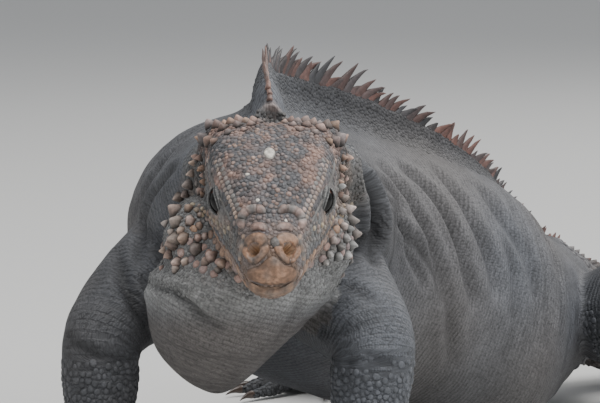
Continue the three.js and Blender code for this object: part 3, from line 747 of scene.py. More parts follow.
move = np.zeros(len(base.points))
# painted shade: how dark a point is painted for lying in a crease, the mouth line or an ear
shade = np.zeros(len(base.points))  # how deep in a crease a point lies, for its colour
for line, deep, wide in creaseLines:
    low, high = line.min(0) - 3 * wide, line.max(0) + 3 * wide
    near = np.flatnonzero(((base.points > low) & (base.points < high)).all(1))
    gaps = np.linalg.norm(base.points[near, None] - line[None], axis=2)
    k = gaps.argmin(1)
    d = gaps[np.arange(len(near)), k] / wide
    depth = deep[k]
    move[near] += depth * (0.45 * np.exp(-((d - 1.7) ** 2) * 1.6) - np.exp(-d * d))
    shade[near] = np.maximum(shade[near], np.clip(depth / 3, 0, 1) * np.exp(-d * d * 1.2))
# loose skin: slow swells over neck, throat and limbs, none on the head's front
back, side, high = headLocal(base.points)
swells = {"from": 70, "to": 100, "broad": (0.5, 15), "fine": (0.28, 6.5)}  # height and size
(broadHigh, broadSize), (fineHigh, fineSize) = swells["broad"], swells["fine"]
loose = smooth(back, swells["from"], swells["to"])
move += loose * (broadHigh * drift(base.points, broadSize, 1) + fineHigh * drift(base.points, fineSize, 2))

# the crown falls away to a notch behind, and a roll of skin lies across the nape
crownEnd = {
    "back": 94, "long": 12, "side": 27, "fall": 5.4,
    "notchAt": 88, "notch": 2.0, "notchWide": 4.5, "notchLong": 4,
    "roll": 97.5, "rollLong": 2.4, "rollHigh": 0.9,
}
onCrown = smooth(-np.abs(side), -crownEnd["side"], -crownEnd["side"] + 8) * smooth(high, 4, 12)
move -= onCrown * crownEnd["fall"] * bell(back - crownEnd["back"], crownEnd["long"])
notchAcross, notchAlong = side / crownEnd["notchWide"], (back - crownEnd["notchAt"]) / crownEnd["notchLong"]
move -= onCrown * crownEnd["notch"] * np.exp(-(notchAcross ** 2) - (notchAlong ** 2))
move += crownEnd["rollHigh"] * onCrown * bell(back - crownEnd["roll"], crownEnd["rollLong"])

# the line of the mouth, the nostrils and the ears are pressed in
mouth = {
    "line": [(-1, -0.6), (6, -0.8), (14, -1.0), (22, -1.6), (36, -2.6), (50, -1.4), (60, 1.2)],
    "deep": 1.2, "wide": 1.15,
}


def overMouth(back, high):
    return high - np.interp(back, *np.transpose(mouth["line"]))


onMouth = (back < 60) & (base.normals @ headForward + np.abs(base.normals @ headLeft) > 0.25)
press = mouth["deep"] * bell(overMouth(back, high), mouth["wide"]) * onMouth
move -= press
# painted shade along the mouth line
shade = np.maximum(shade, press / mouth["deep"] * 0.9)
nostril = {"seenAt": (252.6, 250.5), "mirror": 271.5, "deep": 5.5, "wide": 2.6, "painted": 3.3}
inNostril = np.zeros(len(base.points))
for x in (nostril["seenAt"][0], 2 * nostril["mirror"] - nostril["seenAt"][0]):
    spot, _ = base.seen(x, nostril["seenAt"][1])
    gap = np.linalg.norm(base.points - spot, axis=1)
    move -= nostril["deep"] * np.exp(-((gap / nostril["wide"]) ** 4))
    inNostril = np.maximum(inNostril, np.exp(-((gap / nostril["painted"]) ** 6)))
ear = {"back": 79, "high": 5, "long": 4.6, "tall": 6.2, "deep": 2.2, "side": 15}


def fromEar(back, high):
    # 1 on the ear's rim, less inside it
    return ((back - ear["back"]) / ear["long"]) ** 2 + ((high - ear["high"]) / ear["tall"]) ** 2


earPress = np.exp(-(fromEar(back, high) ** 2)) * (np.abs(side) > ear["side"])
move -= ear["deep"] * earPress
# painted shade in the ears
shade = np.maximum(shade, 0.5 * earPress)

spots = base.points + base.normals * move[:, None]
spots[:, 2] = np.maximum(spots[:, 2], skin["offFloor"])
movePoints(body, spots)
skinNow = Surface(body)
print("creases pressed:", len(creaseLines))


# Colours in linear light.
colours = {
    "slate": (0.098, 0.104, 0.116),
    "slateDark": (0.046, 0.046, 0.05),
    "slateBlue": (0.14, 0.15, 0.172),
    "ash": (0.2, 0.2, 0.195),
    "brownGrey": (0.135, 0.122, 0.114),
    "rust": (0.33, 0.15, 0.085),
    "tan": (0.44, 0.28, 0.19),
    "pink": (0.47, 0.31, 0.26),
    "snout": (0.45, 0.26, 0.165),
    "yellow": (0.5, 0.36, 0.17),
    "bone": (0.62, 0.58, 0.52),
    "umber": (0.06, 0.042, 0.034),
    "crestRed": (0.15, 0.066, 0.05),
}
colours = {name: np.array(c) for name, c in colours.items()}


def mix(a, b, t):
    t = np.clip(np.asarray(t, float), 0, 1)[..., None]
    return a * (1 - t) + b * t


def overLevel(back, high):
    # height over the line along the head where it is widest
    return high - np.interp(back, headForm["back"], headForm["level"])


# painted shade: each part darker where it lies in shadow or turns from the light, the tail's fading in past
# the rump
partShade = {"arm_right": 0.58, "arm_left": 0.82, "leg_left": 0.36, "leg_right": 0.55, "tail": 0.5}
shadeRounds = 60


def blendPaintedShade():
    # painted shade: how dark each part is painted where it lies in shadow or turns from the light, at each
    # point of the skin, blended where parts meet
    part, far, _ = readSkin(spots)
    shares = np.ones(len(spots))
    for name, share in partShade.items():
        begins = smooth(far - bodyReach[-1], -5, 70) if name == "tail" else 1
        shares = np.where(part == partNames.index(name), 1 - (1 - share) * begins, shares)
    ends = np.array([tuple(e.vertices) for e in body.data.edges])
    degree = np.bincount(ends.ravel(), minlength=len(spots))
    for _ in range(shadeRounds):
        shares = sum(np.bincount(ends[:, k], shares[ends[:, 1 - k]], len(spots)) for k in (0, 1)) / degree
    return shares


paintedPartShade = blendPaintedShade()


def treeOf(points):
    tree = KDTree(len(points))
    for i, q in enumerate(points):
        tree.insert(q, i)
    tree.balance()
    return tree


skinPlaces = treeOf(spots)


def toneAt(points):
    # the colour of the skin and of the scales on it, with painted shade in places
    back, side, high = headLocal(points)
    part, far, turn = readSkin(points)
    isPart = {name: part == i for i, name in enumerate(partNames)}
    pastRump = far - bodyReach[-1]
    broad, mid, fine = drift(points, 38, 5), drift(points, 13, 6), drift(points, 5, 7)
    count = len(points)
    tone = mix(np.tile(colours["slate"], (count, 1)), colours["slateBlue"], 0.34 + 0.5 * broad + 0.2 * mid)
    tone = mix(tone, colours["brownGrey"], 0.3 + 0.5 * drift(points, 60, 8))
    ridge = isPart["trunk"] * np.exp(-((turn / 13) ** 2)) * smooth(far, 45, 80)
    tone = mix(tone, colours["slateDark"], 0.75 * ridge)
    rings = 0.5 + 0.5 * np.sin((far - 40) / 34 * np.pi + 0.6 * mid)
    tone = mix(tone, colours["umber"], isPart["tail"] * (0.5 + 0.35 * rings) * smooth(pastRump, -20, 50))
    throat = isPart["dewlap"] | (isPart["head"] & (high < -20))
    tone = mix(tone, colours["ash"] * 1.4, throat * smooth(points[:, 2], 74, 92) * 0.75)
    tone = mix(tone, colours["brownGrey"], throat * smooth(-points[:, 2], -88, -74) * 0.75)
    head = smooth(-back, -104, -90) * (isPart["head"] | isPart["trunk"])
    # crown: blue-grey with bands of rust and pink
    onTop = smooth(overLevel(back, high), 6, 16) * head
    patches = 0.55 * mid + 0.8 * fine + 0.25 * np.sin(back / 5.2)
    crown = np.tile(mix(colours["slateBlue"], colours["brownGrey"], 0.45) * 0.92, (count, 1))
    crown = mix(crown, colours["rust"] * 0.8, 0.42 * smooth(patches, -0.2, 0.8))
    crown = mix(crown, colours["pink"] * 0.85, smooth(patches, 0.0, 0.95) * 0.7)
    tone = mix(tone, crown, onTop)
    # cheeks: grey with some tan, then the tan snout
    cheek = head * (1 - onTop) * smooth(high, -24, -12)
    cheekTone = mix(np.tile(colours["ash"], (count, 1)), colours["tan"], 0.2 + 0.5 * patches) * 1.1
    tone = mix(tone, cheekTone, cheek * 0.8)
    snout = head * smooth(-back, -20, -6) * smooth(high, -11, -5)
    snoutTone = mix(np.tile(colours["tan"] * 0.6, (count, 1)), colours["slateBlue"], 0.5 + 0.8 * fine)
    tone = mix(tone, snoutTone, snout * 0.85)
    jaw = head * smooth(-np.abs(high + 5), -7, -3) * smooth(-back, -52, -20)
    tone = mix(tone, colours["tan"] * 0.75, jaw * (0.35 + 0.4 * fine))
    tone = mix(tone, colours["slateBlue"] * 0.8, np.isin(part, limbParts) * (0.3 + 0.3 * mid))
    # painted shade for each part
    tone = tone * paintedPartShade[[skinPlaces.find(q)[1] for q in points]][:, None]
    # painted shade low on the flank and behind the head, and darker along the back
    low = isPart["trunk"] * smooth(np.abs(turn), 80, 130) * smooth(far, 120, 180)
    nearNeck = isPart["trunk"] * smooth(-far, -130, -60) * smooth(np.abs(turn), 20, 50)
    onBack = isPart["trunk"] * smooth(-np.abs(turn), -45, -15)
    tone = tone * (1 - 0.36 * low - 0.2 * nearNeck - 0.22 * onBack)[:, None]
    # painted shade in the crevice behind the crown, and the pale roll after it
    creviceShade = head * smooth(-np.abs(side), -27, -18) * smooth(high, 2, 10) * bell(back - 91.5, 1.5)
    tone = mix(
        tone, colours["ash"] * 1.15, head * smooth(high, 2, 10) * bell(back - crownEnd["roll"], 2.6) * 0.7
    )
    tone = tone * (1 - 0.5 * creviceShade)[:, None]
    return np.clip(tone * (1 + 0.12 * fine)[:, None], 0.004, 0.9)


def addTone(obj, tone):
    layer = obj.data.color_attributes.new("tone", "FLOAT_COLOR", "POINT")
    layer.data.foreach_set("color", np.concatenate([tone, np.ones((len(tone), 1))], 1).ravel())


class Nodes:
    def __init__(self, name):
        self.material = bpy.data.materials.new(name)
        self.material.use_nodes = True
        self.tree = self.material.node_tree
        self.shader = self.tree.nodes["Principled BSDF"]

    def add(self, kind, inputs=None, **settings):
        node = self.tree.nodes.new(kind)
        for key, value in settings.items():
            setattr(node, key, value)
        for key, value in (inputs or {}).items():
            if isinstance(value, bpy.types.NodeSocket):
                self.tree.links.new(value, node.inputs[key])
            else:
                node.inputs[key].default_value = value
        return node

    def link(self, socket, key):
        self.tree.links.new(socket, self.shader.inputs[key])

    def value(self, operation, *inputs):
        return self.add("ShaderNodeMath", dict(enumerate(inputs)), operation=operation).outputs[0]

    def spread(self, value, low, high, toLow, toHigh):
        ends = {"From Min": low, "From Max": high, "To Min": toLow, "To Max": toHigh}
        return self.add("ShaderNodeMapRange", {"Value": value, **ends}).outputs["Result"]

    def times(self, colour, value):
        # a colour made lighter or darker by a number
        node = self.add("ShaderNodeVectorMath", operation="SCALE")
        self.tree.links.new(colour, node.inputs[0])
        self.tree.links.new(value, node.inputs["Scale"])
        return node.outputs[0]


skinFinish = {
    "scale": 1.25, "rows": 1.15, "bump": 0.00024, "roughness": 0.62, "mottle": 0.16, "speck": 0.3,
    "pleats": 2.7,
}


def skinMaterial(name, onMap=True):
    n = Nodes(name)
    place = n.add("ShaderNodeTexCoord").outputs["Object"]
    tone = n.add("ShaderNodeAttribute", attribute_name="tone").outputs["Color"]
    if onMap:
        where = n.add("ShaderNodeAttribute", attribute_name="scaleMap").outputs["Vector"]
        size = 1 / skinFinish["scale"]
        where = n.add(
            "ShaderNodeMapping", {"Vector": where, "Scale": (size * skinFinish["rows"], size, size)}
        ).outputs[0]
        cells = n.add(
            "ShaderNodeTexVoronoi", {"Vector": where, "Scale": 1.0, "Randomness": 0.62},
            voronoi_dimensions="2D",
        )
    else:
        cells = n.add("ShaderNodeTexVoronoi", {"Vector": place, "Scale": 1050.0, "Randomness": 0.8})
    mottle = n.add(
        "ShaderNodeTexNoise", {"Vector": place, "Scale": 75.0, "Detail": 5.0, "Roughness": 0.62}
    ).outputs["Fac"]
    grime = n.add("ShaderNodeTexNoise", {"Vector": place, "Scale": 420.0, "Detail": 3.0}).outputs["Fac"]
    # painted shade: darker in the gaps between the small scales
    gap = n.spread(cells.outputs["Distance"], 0.34, 0.72, 1.07, 0.62)
    speck, blotch = skinFinish["speck"] / 2, skinFinish["mottle"]
    lot = n.add("ShaderNodeSeparateColor", {"Color": cells.outputs["Color"]}).outputs["Red"]
    own = n.spread(lot, 0, 1, 1 - speck, 1 + speck)
    shade = n.value(
        "MULTIPLY", n.value("MULTIPLY", gap, own), n.spread(mottle, 0.25, 0.75, 1 - blotch, 1 + blotch)
    )
    shade = n.value("MULTIPLY", shade, n.spread(grime, 0.3, 0.7, 0.93, 1.07))
    dome = n.spread(cells.outputs["Distance"], 0.1, 0.7, 1, 0)
    height = n.value("ADD", dome, n.value("MULTIPLY", grime, 0.5))
    if onMap:
        # fine pleats that run round each part
        lines = n.value(
            "MULTIPLY", n.add("ShaderNodeSeparateXYZ", {"Vector": where}).outputs["X"], skinFinish["pleats"]
        )
        pleat = n.value("SINE", n.value("ADD", lines, n.value("MULTIPLY", mottle, 8.0)))
        # painted shade and light: darker in the pleats' hollows, lighter on their ridges
        shade = n.value("MULTIPLY", shade, n.spread(pleat, -1, 1, 0.86, 1.1))
        height = n.value("ADD", height, n.value("MULTIPLY", pleat, 0.7))
    n.link(n.times(tone, shade), "Base Color")
    rough = skinFinish["roughness"]
    n.link(n.spread(grime, 0.3, 0.7, rough - 0.08, rough + 0.1), "Roughness")
    n.shader.inputs["Specular IOR Level"].default_value = 0.38
    bump = n.add("ShaderNodeBump", {"Height": height, "Strength": 0.9, "Distance": skinFinish["bump"]})
    n.link(bump.outputs["Normal"], "Normal")
    return n.material


def hornMaterial(name, roughness, grain, bump, coat=0.0):
    # scales, spines and claws: their own colour with fine grain
    n = Nodes(name)
    place = n.add("ShaderNodeTexCoord").outputs["Object"]
    tone = n.add("ShaderNodeAttribute", attribute_name="tone").outputs["Color"]
    speckle = n.add(
        "ShaderNodeTexNoise", {"Vector": place, "Scale": grain, "Detail": 4.0, "Roughness": 0.65}
    ).outputs["Fac"]
    soil = n.add(
        "ShaderNodeTexNoise", {"Vector": place, "Scale": grain * 0.2, "Detail": 3.0}
    ).outputs["Fac"]
    shade = n.value(
        "MULTIPLY", n.spread(speckle, 0.3, 0.7, 0.66, 1.3), n.spread(soil, 0.3, 0.7, 0.84, 1.14)
    )
    n.link(n.times(tone, shade), "Base Color")
    n.link(n.spread(speckle, 0.3, 0.7, roughness - 0.08, roughness + 0.1), "Roughness")
    n.shader.inputs["Specular IOR Level"].default_value = 0.42
    n.shader.inputs["Coat Weight"].default_value = coat
    n.link(
        n.add("ShaderNodeBump", {"Height": speckle, "Strength": 0.8, "Distance": bump}).outputs["Normal"],
        "Normal",
    )
    return n.material


skinLook = skinMaterial("granularSkin")
pawLook = skinMaterial("pawSkin", onMap=False)
scaleLook = hornMaterial("scaleHorn", 0.56, 900.0, 0.00022)
tubercleLook = hornMaterial("tubercleHorn", 0.58, 640.0, 0.00028)
plateLook = hornMaterial("snoutPlate", 0.5, 620.0, 0.00022)
spineLook = hornMaterial("crestHorn", 0.48, 420.0, 0.00014)
clawLook = hornMaterial("clawHornLook", 0.34, 500.0, 0.00006, coat=0.2)

# painted shade: the skin darker in its creases, along the mouth line and in the ears
tone = toneAt(spots) * (1 - 0.74 * np.clip(shade, 0, 1))[:, None]
tone = mix(tone, mix(colours["rust"], colours["yellow"], 0.35) * 0.85, inNostril)
addTone(body, tone)


def addScaleMap(obj, surface):
    # for each face corner, millimetres along and round the part that the face is on
    loops = np.array([l.vertex_index for l in obj.data.loops])
    facePart, _, _ = readSkin(surface.points[surface.faces].mean(1))
    corners = surface.faces.shape[1]
    loopPart = np.repeat(facePart, corners)
    values = np.zeros((len(loops), 3))
    for i, name in enumerate(partNames):
        mine = np.flatnonzero(loopPart == i)
        if not len(mine):
            continue
        _, far, turn, girth = readAs(surface.points[loops[mine]], name)
        turn = turn.reshape(-1, corners)
        turn = np.where(
            (turn.max(1) - turn.min(1))[:, None] > 180, np.where(turn < 0, turn + 360, turn), turn
        ).ravel()
        values[mine, 0] = far + 40 * i
        values[mine, 1] = np.radians(turn) * girth
    layer = obj.data.attributes.new("scaleMap", "FLOAT_VECTOR", "CORNER")
    layer.data.foreach_set("vector", values.ravel())


addScaleMap(body, skinNow)
body.data.shade_smooth()
body.data.materials.clear()
body.data.materials.append(skinLook)
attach(body, "root")
flesh = [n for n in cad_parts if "claw" not in n and not n.startswith(("eye", "hand", "foot"))]
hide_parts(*flesh)
print("skin painted")


def bakePlaces(roots):
    # where each root lies on a map of the skin: a strip for each part, along it and round it
    part, far, turn = readSkin(roots)
    low = np.array([readings[name][3].min() for name in partNames])[part]
    high = np.array([readings[name][3].max() for name in partNames])[part]
    u = 0.02 + 0.96 * np.clip((far - low) / (high - low), 0, 1)
    v = (part + 0.5 + turn / 360 * 0.92) / len(partNames)
    return np.stack([u, v], -1)


def coatPiece(name, points, faces, tone, roots, spread, material, slot):
    # one joined mesh of many small forms; spread says where a point lies in its form, -1 to 1
    points[:, 2] = np.maximum(points[:, 2], 0.06)
    obj = meshObject(name, points, faces)
    addTone(obj, tone)
    uv = bakePlaces(roots) + 0.0015 * spread
    loops = np.empty(len(obj.data.loops), int)
    obj.data.loops.foreach_get("vertex_index", loops)
    layer = obj.data.uv_layers.new(name="OFBake")
    layer.data.foreach_set("uv", uv[loops].ravel())
    obj.data.shade_smooth()
    obj.data.materials.append(material)
    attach(obj, "root")
    return obj


def tangents(normals, ahead):
    side = unit(np.cross(normals, ahead))
    return side, np.cross(normals, side)


def scatter(surface, radiusAt, seed, crowd=5.0, apart=0.84):
    # far more spots on the skin than have room, for settle to choose from
    rng = np.random.default_rng(seed)
    corners = surface.points[surface.faces]
    slant, cross = corners[:, 2] - corners[:, 0], corners[:, 3] - corners[:, 1]
    area = 0.5 * np.linalg.norm(np.cross(slant, cross), axis=1)
    radius = radiusAt(corners.mean(1), unit(surface.normals[surface.faces].mean(1)))
    chance = np.where(radius > 0, area / np.maximum(radius, 0.1) ** 2 / 3.0 * crowd, 0)
    count = rng.poisson(chance)
    pick = np.repeat(np.arange(len(count)), count)
    rng.shuffle(pick)
    a, b = rng.random((2, len(pick)))[..., None]
    c = surface.points[surface.faces[pick]]
    n = surface.normals[surface.faces[pick]]
    weights = ((1 - a) * (1 - b), a * (1 - b), a * b, (1 - a) * b)
    spots = sum(w * c[:, k] for k, w in enumerate(weights))
    normals = unit(sum(w * n[:, k] for k, w in enumerate(weights)))
    return spots, normals, radius[pick] * rng.uniform(0.78, 1.24, len(pick)), apart


def settle(fixed, fixedRadii, candidates):
    # takes the candidates in turn and keeps each that has room beside the fixed and the kept
    spots, normals, radii, apart = candidates
    cell = 2 * max(radii.max(), 0.1)
    cellOf = lambda q: tuple(int(c // cell) for c in q)
    grid, kept, fixedNear = {}, [], {}

    def cellsBy(key, span):
        steps = range(-span, span + 1)
        return ((key[0] + i, key[1] + j, key[2] + k) for i, j, k in itertools.product(steps, repeat=3))

    def hasRoom(q, r, others):
        x, y, z = q
        for ox, oy, oz, other in others:
            if (x - ox) ** 2 + (y - oy) ** 2 + (z - oz) ** 2 < (apart * (r + other)) ** 2:
                return False
        return True

    for q, r in zip(fixed.tolist(), fixedRadii.tolist()):
        for key in cellsBy(cellOf(q), math.ceil((r + radii.max()) / cell)):
            fixedNear.setdefault(key, []).append((*q, r))
    for index, (q, r) in enumerate(zip(spots.tolist(), radii.tolist())):
        key = cellOf(q)
        if hasRoom(q, r, fixedNear.get(key, ())) and all(
            hasRoom(q, r, grid.get(k, ())) for k in cellsBy(key, 1)
        ):
            grid.setdefault(key, []).append((*q, r))
            kept.append(index)
    return spots[kept], normals[kept], radii[kept]


# painted shade at a scale's foot and light on its top, where its rings lie on the map, how many scales go
# in one piece
ringShading, ringShifts, scalesEach = (0.42, 0.86, 1.06, 1.14), (1.0, 0.85, 0.5), 4000


def mosaic(name, sites, normals, radii, heights, sharp, lean, tone, shown, slot, corners=8, gap=0.95):
    # A scale at each shown site: its edge runs half way to its neighbours, then it rises to a
    # low dome, or to a point where sharp is near 1.
    tree = treeOf(sites)
    rng = np.random.default_rng(len(sites))
    index = np.flatnonzero(shown)
    neighbours = np.array([[i for _, i, _ in tree.find_n(sites[s], 13)][1:] for s in index])
    c, n, r = sites[index], normals[index], radii[index]
    ahead = np.where(np.abs(n @ headForward)[:, None] < 0.9, headForward[None], headUp[None])
    side, fore = tangents(n, ahead)
    offset = sites[neighbours] - c[:, None]
    across, onward = (offset * side[:, None]).sum(-1), (offset * fore[:, None]).sum(-1)
    square = across ** 2 + onward ** 2 + 1e-9
    share = r[:, None] / (r[:, None] + radii[neighbours])
    agree = (normals[neighbours] * n[:, None]).sum(-1) > 0.1
    a = rng.random(len(index))[:, None] * 6.283 + np.arange(corners)[None] * 2 * np.pi / corners
    facing = across[:, :, None] * np.cos(a)[:, None] + onward[:, :, None] * np.sin(a)[:, None]
    halfWay = share[:, :, None] * square[:, :, None] / np.maximum(facing, 0.02)
    bound = np.where((facing > 0.02) & agree[:, :, None], halfWay, 99)
    reach = np.minimum(bound.min(1) * gap, 1.22 * r[:, None])  # alone, a scale is round
    way = np.cos(a)[..., None] * side[:, None] + np.sin(a)[..., None] * fore[:, None]
    h, s = heights[index][:, None, None], sharp[index][:, None, None]
    up, tip = n[:, None], lean[index][:, None]
    out = way * reach[..., None]
    rings = [
        c[:, None] + out * 1.03 - up * (0.3 + 0.12 * r[:, None, None]),
        c[:, None] + out * 0.96 + up * h * (0.32 - 0.2 * s) + tip * h * 0.1,
        c[:, None] + out * (0.62 - 0.14 * s) + up * h * (0.84 - 0.26 * s) + tip * h * 0.5,
        c[:, None] + up * h + tip * h,
    ]
    each = 3 * corners + 1
    sides = [(j, (j + 1) % corners) for j in range(corners)]
    base = [(k + j, k + m, k + corners + m, k + corners + j) for k in (0, corners) for j, m in sides]
    base += [(2 * corners + j, 2 * corners + m, 3 * corners) for j, m in sides]
    flat = np.concatenate(rings, 1)
    colour = np.concatenate(
        [np.repeat(tone[index][:, None] * t, x.shape[1], 1) for t, x in zip(ringShading, rings)], 1
    )
    turnXY = np.stack([np.cos(a), np.sin(a)], -1)
    spread = np.concatenate([turnXY * shift for shift in ringShifts] + [np.zeros((len(index), 1, 2))], 1)
    for number, start in enumerate(range(0, len(index), scalesEach)):
        rows = slice(start, start + scalesEach)
        faces = [tuple(v + i * each for v in f) for i in range(len(flat[rows])) for f in base]
        points, tones = flat[rows].reshape(-1, 3), colour[rows].reshape(-1, 3)
        roots, spreads = np.repeat(c[rows], each, 0), spread[rows].reshape(-1, 2)
        coatPiece(f"{name}_{number + 1}", points, faces, tones, roots, spreads, scaleLook, slot)


def stamp(name, template, roots, ups, aheads, sizes, tones, material, slot, tintAt, bend, rough=0.0):
    # copies of one form, each at its root with its own size (across, ahead, up), colour and bend
    points, faces = template
    each = len(points)
    ups = unit(ups)
    aheads = unit(aheads - ups * (aheads * ups).sum(1, keepdims=True))
    sides = np.cross(aheads, ups)
    local = points[None] * sizes[:, None]
    local[..., 1] += bend[:, None] * points[None, :, 2] ** 2 * sizes[:, None, 2]
    place = roots[:, None]
    for k, axes in enumerate((sides, aheads, ups)):
        place = place + local[..., k:k + 1] * axes[:, None]
    if rough:
        knots = place.reshape(-1, 3)
        uneven = np.stack([drift(knots, 1.5 + rough * 2, seed) for seed in (61, 62, 63)], -1)
        place = (knots + rough * uneven).reshape(place.shape)
    tint = np.tile(np.interp(points[:, 2], *tintAt), (len(roots), 1))
    colour = np.clip(tones[:, None] * tint[..., None], 0, 1).reshape(-1, 3)
    allFaces = [tuple(v + i * each for v in f) for i in range(len(roots)) for f in faces]
    spread = np.tile(np.clip(points[:, :2], -1, 1), (len(roots), 1))
    allRoots = np.repeat(roots, each, 0)
    return coatPiece(name, place.reshape(-1, 3), allFaces, colour, allRoots, spread, material, slot)


# Eyes: a ball in the head, and lids that fold round a slanting slit.
eye = {
    "back": 42, "side": 19.4, "high": 17, "radius": 7.2, "look": (0.69, 0.72, 0.04),
    "slant": (0.6, -0.3, -0.75),
}
lid = {
    "slit": (6.3, 2.5, 2.9), "outer": (14.5, 9.4), "shift": 1.0, "rise": 0.7,
    "folds": 4.4, "fold": 0.5, "round": 96, "across": 30, "tuck": 0.9,
}


def eyeMaterial():
    n = Nodes("eyeGlass")
    ring = n.add("ShaderNodeAttribute", attribute_name="ring").outputs["Fac"]
    place = n.add("ShaderNodeTexCoord").outputs["Object"]
    rays = n.add("ShaderNodeTexNoise", {"Vector": place, "Scale": 900.0, "Detail": 3.0}).outputs["Fac"]
    ramp = n.add("ShaderNodeValToRGB", {"Fac": n.value("ADD", ring, n.spread(rays, 0, 1, -0.03, 0.03))})
    stops = [  # pupil, iris and rim
        (0.0, (0.003, 0.003, 0.003)), (0.19, (0.004, 0.003, 0.003)), (0.23, (0.075, 0.024, 0.012)),
        (0.4, (0.04, 0.014, 0.009)), (0.5, (0.012, 0.009, 0.008)),
    ]
    while len(ramp.color_ramp.elements) < len(stops):
        ramp.color_ramp.elements.new(0.5)
    for element, (at, colour) in zip(ramp.color_ramp.elements, stops):
        element.position, element.color = at, (*colour, 1)
    n.link(ramp.outputs["Color"], "Base Color")
    gloss = {"Roughness": 0.2, "Specular IOR Level": 0.16, "Coat Weight": 0.12, "Coat Roughness": 0.05}
    for key, value in gloss.items():
        n.shader.inputs[key].default_value = value
    return n.material


eyeLook = eyeMaterial()
lidZones = []
for sideName, sign in {"left": 1, "right": -1}.items():
    middle = headPlace(eye["back"], eye["side"] * sign, eye["high"])
    eyeAxes = np.stack([headForward, headLeft * sign, headUp])
    slit = unit(eye["slant"] @ eyeAxes)
    look = eye["look"] @ eyeAxes
    look = unit(look - slit * (look @ slit))
    over = np.cross(look, slit)
    over = over * np.sign(over @ headUp)
    ball, local = ballOf("eyeball_" + sideName, 48, 32)
    movePoints(
        ball, middle + eye["radius"] * (local[:, 0:1] * slit + local[:, 1:2] * over + local[:, 2:3] * look)
    )
    ring = ball.data.attributes.new("ring", "FLOAT", "POINT")
    ring.data.foreach_set("value", np.arccos(np.clip(local[:, 2], -1, 1)) / np.pi)
    faceOutward(ball)
    ball.data.shade_smooth()
    ball.data.materials.append(eyeLook)
    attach(ball, "root")
    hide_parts("eye_" + sideName)

    t = np.arange(lid["round"]) * 2 * np.pi / lid["round"]
    s = np.concatenate([[-0.09], np.linspace(0, 1, lid["across"])])[:, None]
    half, upper, lower = lid["slit"]
    innerA = half * np.cos(t) * np.abs(np.cos(t)) ** 0.15
    innerB = np.where(np.sin(t) > 0, upper, lower) * np.sin(t) * np.abs(np.sin(t)) ** 0.35
    a = innerA + (lid["outer"][0] * np.cos(t) - lid["shift"] - innerA) * np.clip(s, 0, 1)
    b = innerB + (lid["outer"][1] * np.sin(t) - innerB) * np.clip(s, 0, 1)
    r = eye["radius"] + lid["rise"] - lid["tuck"] * (s < 0)
    dome = np.sqrt(np.maximum(r * r - a * a - b * b, 0))
    ground = np.zeros_like(dome)
    for i in range(len(s)):
        for j in range(len(t)):
            start = middle + slit * a[i, j] + over * b[i, j] + look * 26
            hit = skinNow.tree.ray_cast(Vector(start), Vector(-look))[0]
            ground[i, j] = (np.array(hit) - middle) @ look if hit else 0
    w = smooth(s, 0.3, 0.9)  # from the ball's dome to the skin around it
    wave = np.sin(2 * np.pi * (lid["folds"] * np.clip(s, 0, 1) ** 0.85 + 0.14 * np.sin(3 * t) + 0.05))
    foldHigh = lid["fold"] * wave * smooth(s, 0.05, 0.3) * smooth(-s, -0.98, -0.7)
    height = dome * (1 - w) + ground * w + foldHigh * (0.5 + 0.5 * np.abs(np.sin(t)) ** 0.6)
    cover = np.sqrt(np.maximum((eye["radius"] + 0.3) ** 2 - a * a - b * b, 0))
    height = np.maximum(height, np.where(s >= 0, cover, -99)) - lid["tuck"] * smooth(s, 0.88, 1)
    rings = middle + slit * a[..., None] + over * b[..., None] + look * height[..., None]
    count = lid["round"]
    faces = []
    for i, j in itertools.product(range(len(s) - 1), range(count)):
        here, onward, m = i * count, (i + 1) * count, (j + 1) % count
        faces.append((here + j, onward + j, onward + m, here + m)[::sign])
    folds = meshObject("lids_" + sideName, rings.reshape(-1, 3), faces)
    faceOutward(folds)
    outward = normalsOf(folds).reshape(len(s), count, 3)[len(s) // 2].mean(0) @ look
    if outward < 0:
        folds.data.flip_normals()
    every = np.ones_like(a)
    # painted light and shade: the lids pale on their folds' crests, dark in their troughs, and darker where
    # they tuck into the slit
    foldLight = np.clip(0.5 + 0.5 * wave, 0, 1) * every
    lidTone = mix(colours["slateDark"] * 0.7, colours["ash"] * 1.25, 0.08 + 0.9 * foldLight ** 1.5)
    lidTone = mix(lidTone, colours["yellow"] * 0.8, 0.25 * smooth(s, 0.5, 0.95) * every)
    lidTone = lidTone * (1 - 0.75 * smooth(-s, -0.06, 0.05) * every)[..., None]
    addTone(folds, lidTone.reshape(-1, 3))
    folds.data.shade_smooth()
    folds.data.materials.append(pawLook)
    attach(folds, "root")
    lidZones.append((middle, slit, over, look))
print("eyes and lids set")


# The front of the head: shields drawn on the picture's points and laid on the skin.
mirror = 271.6


def mirrored(line):
    return [(2 * mirror - x, y) for x, y in line]
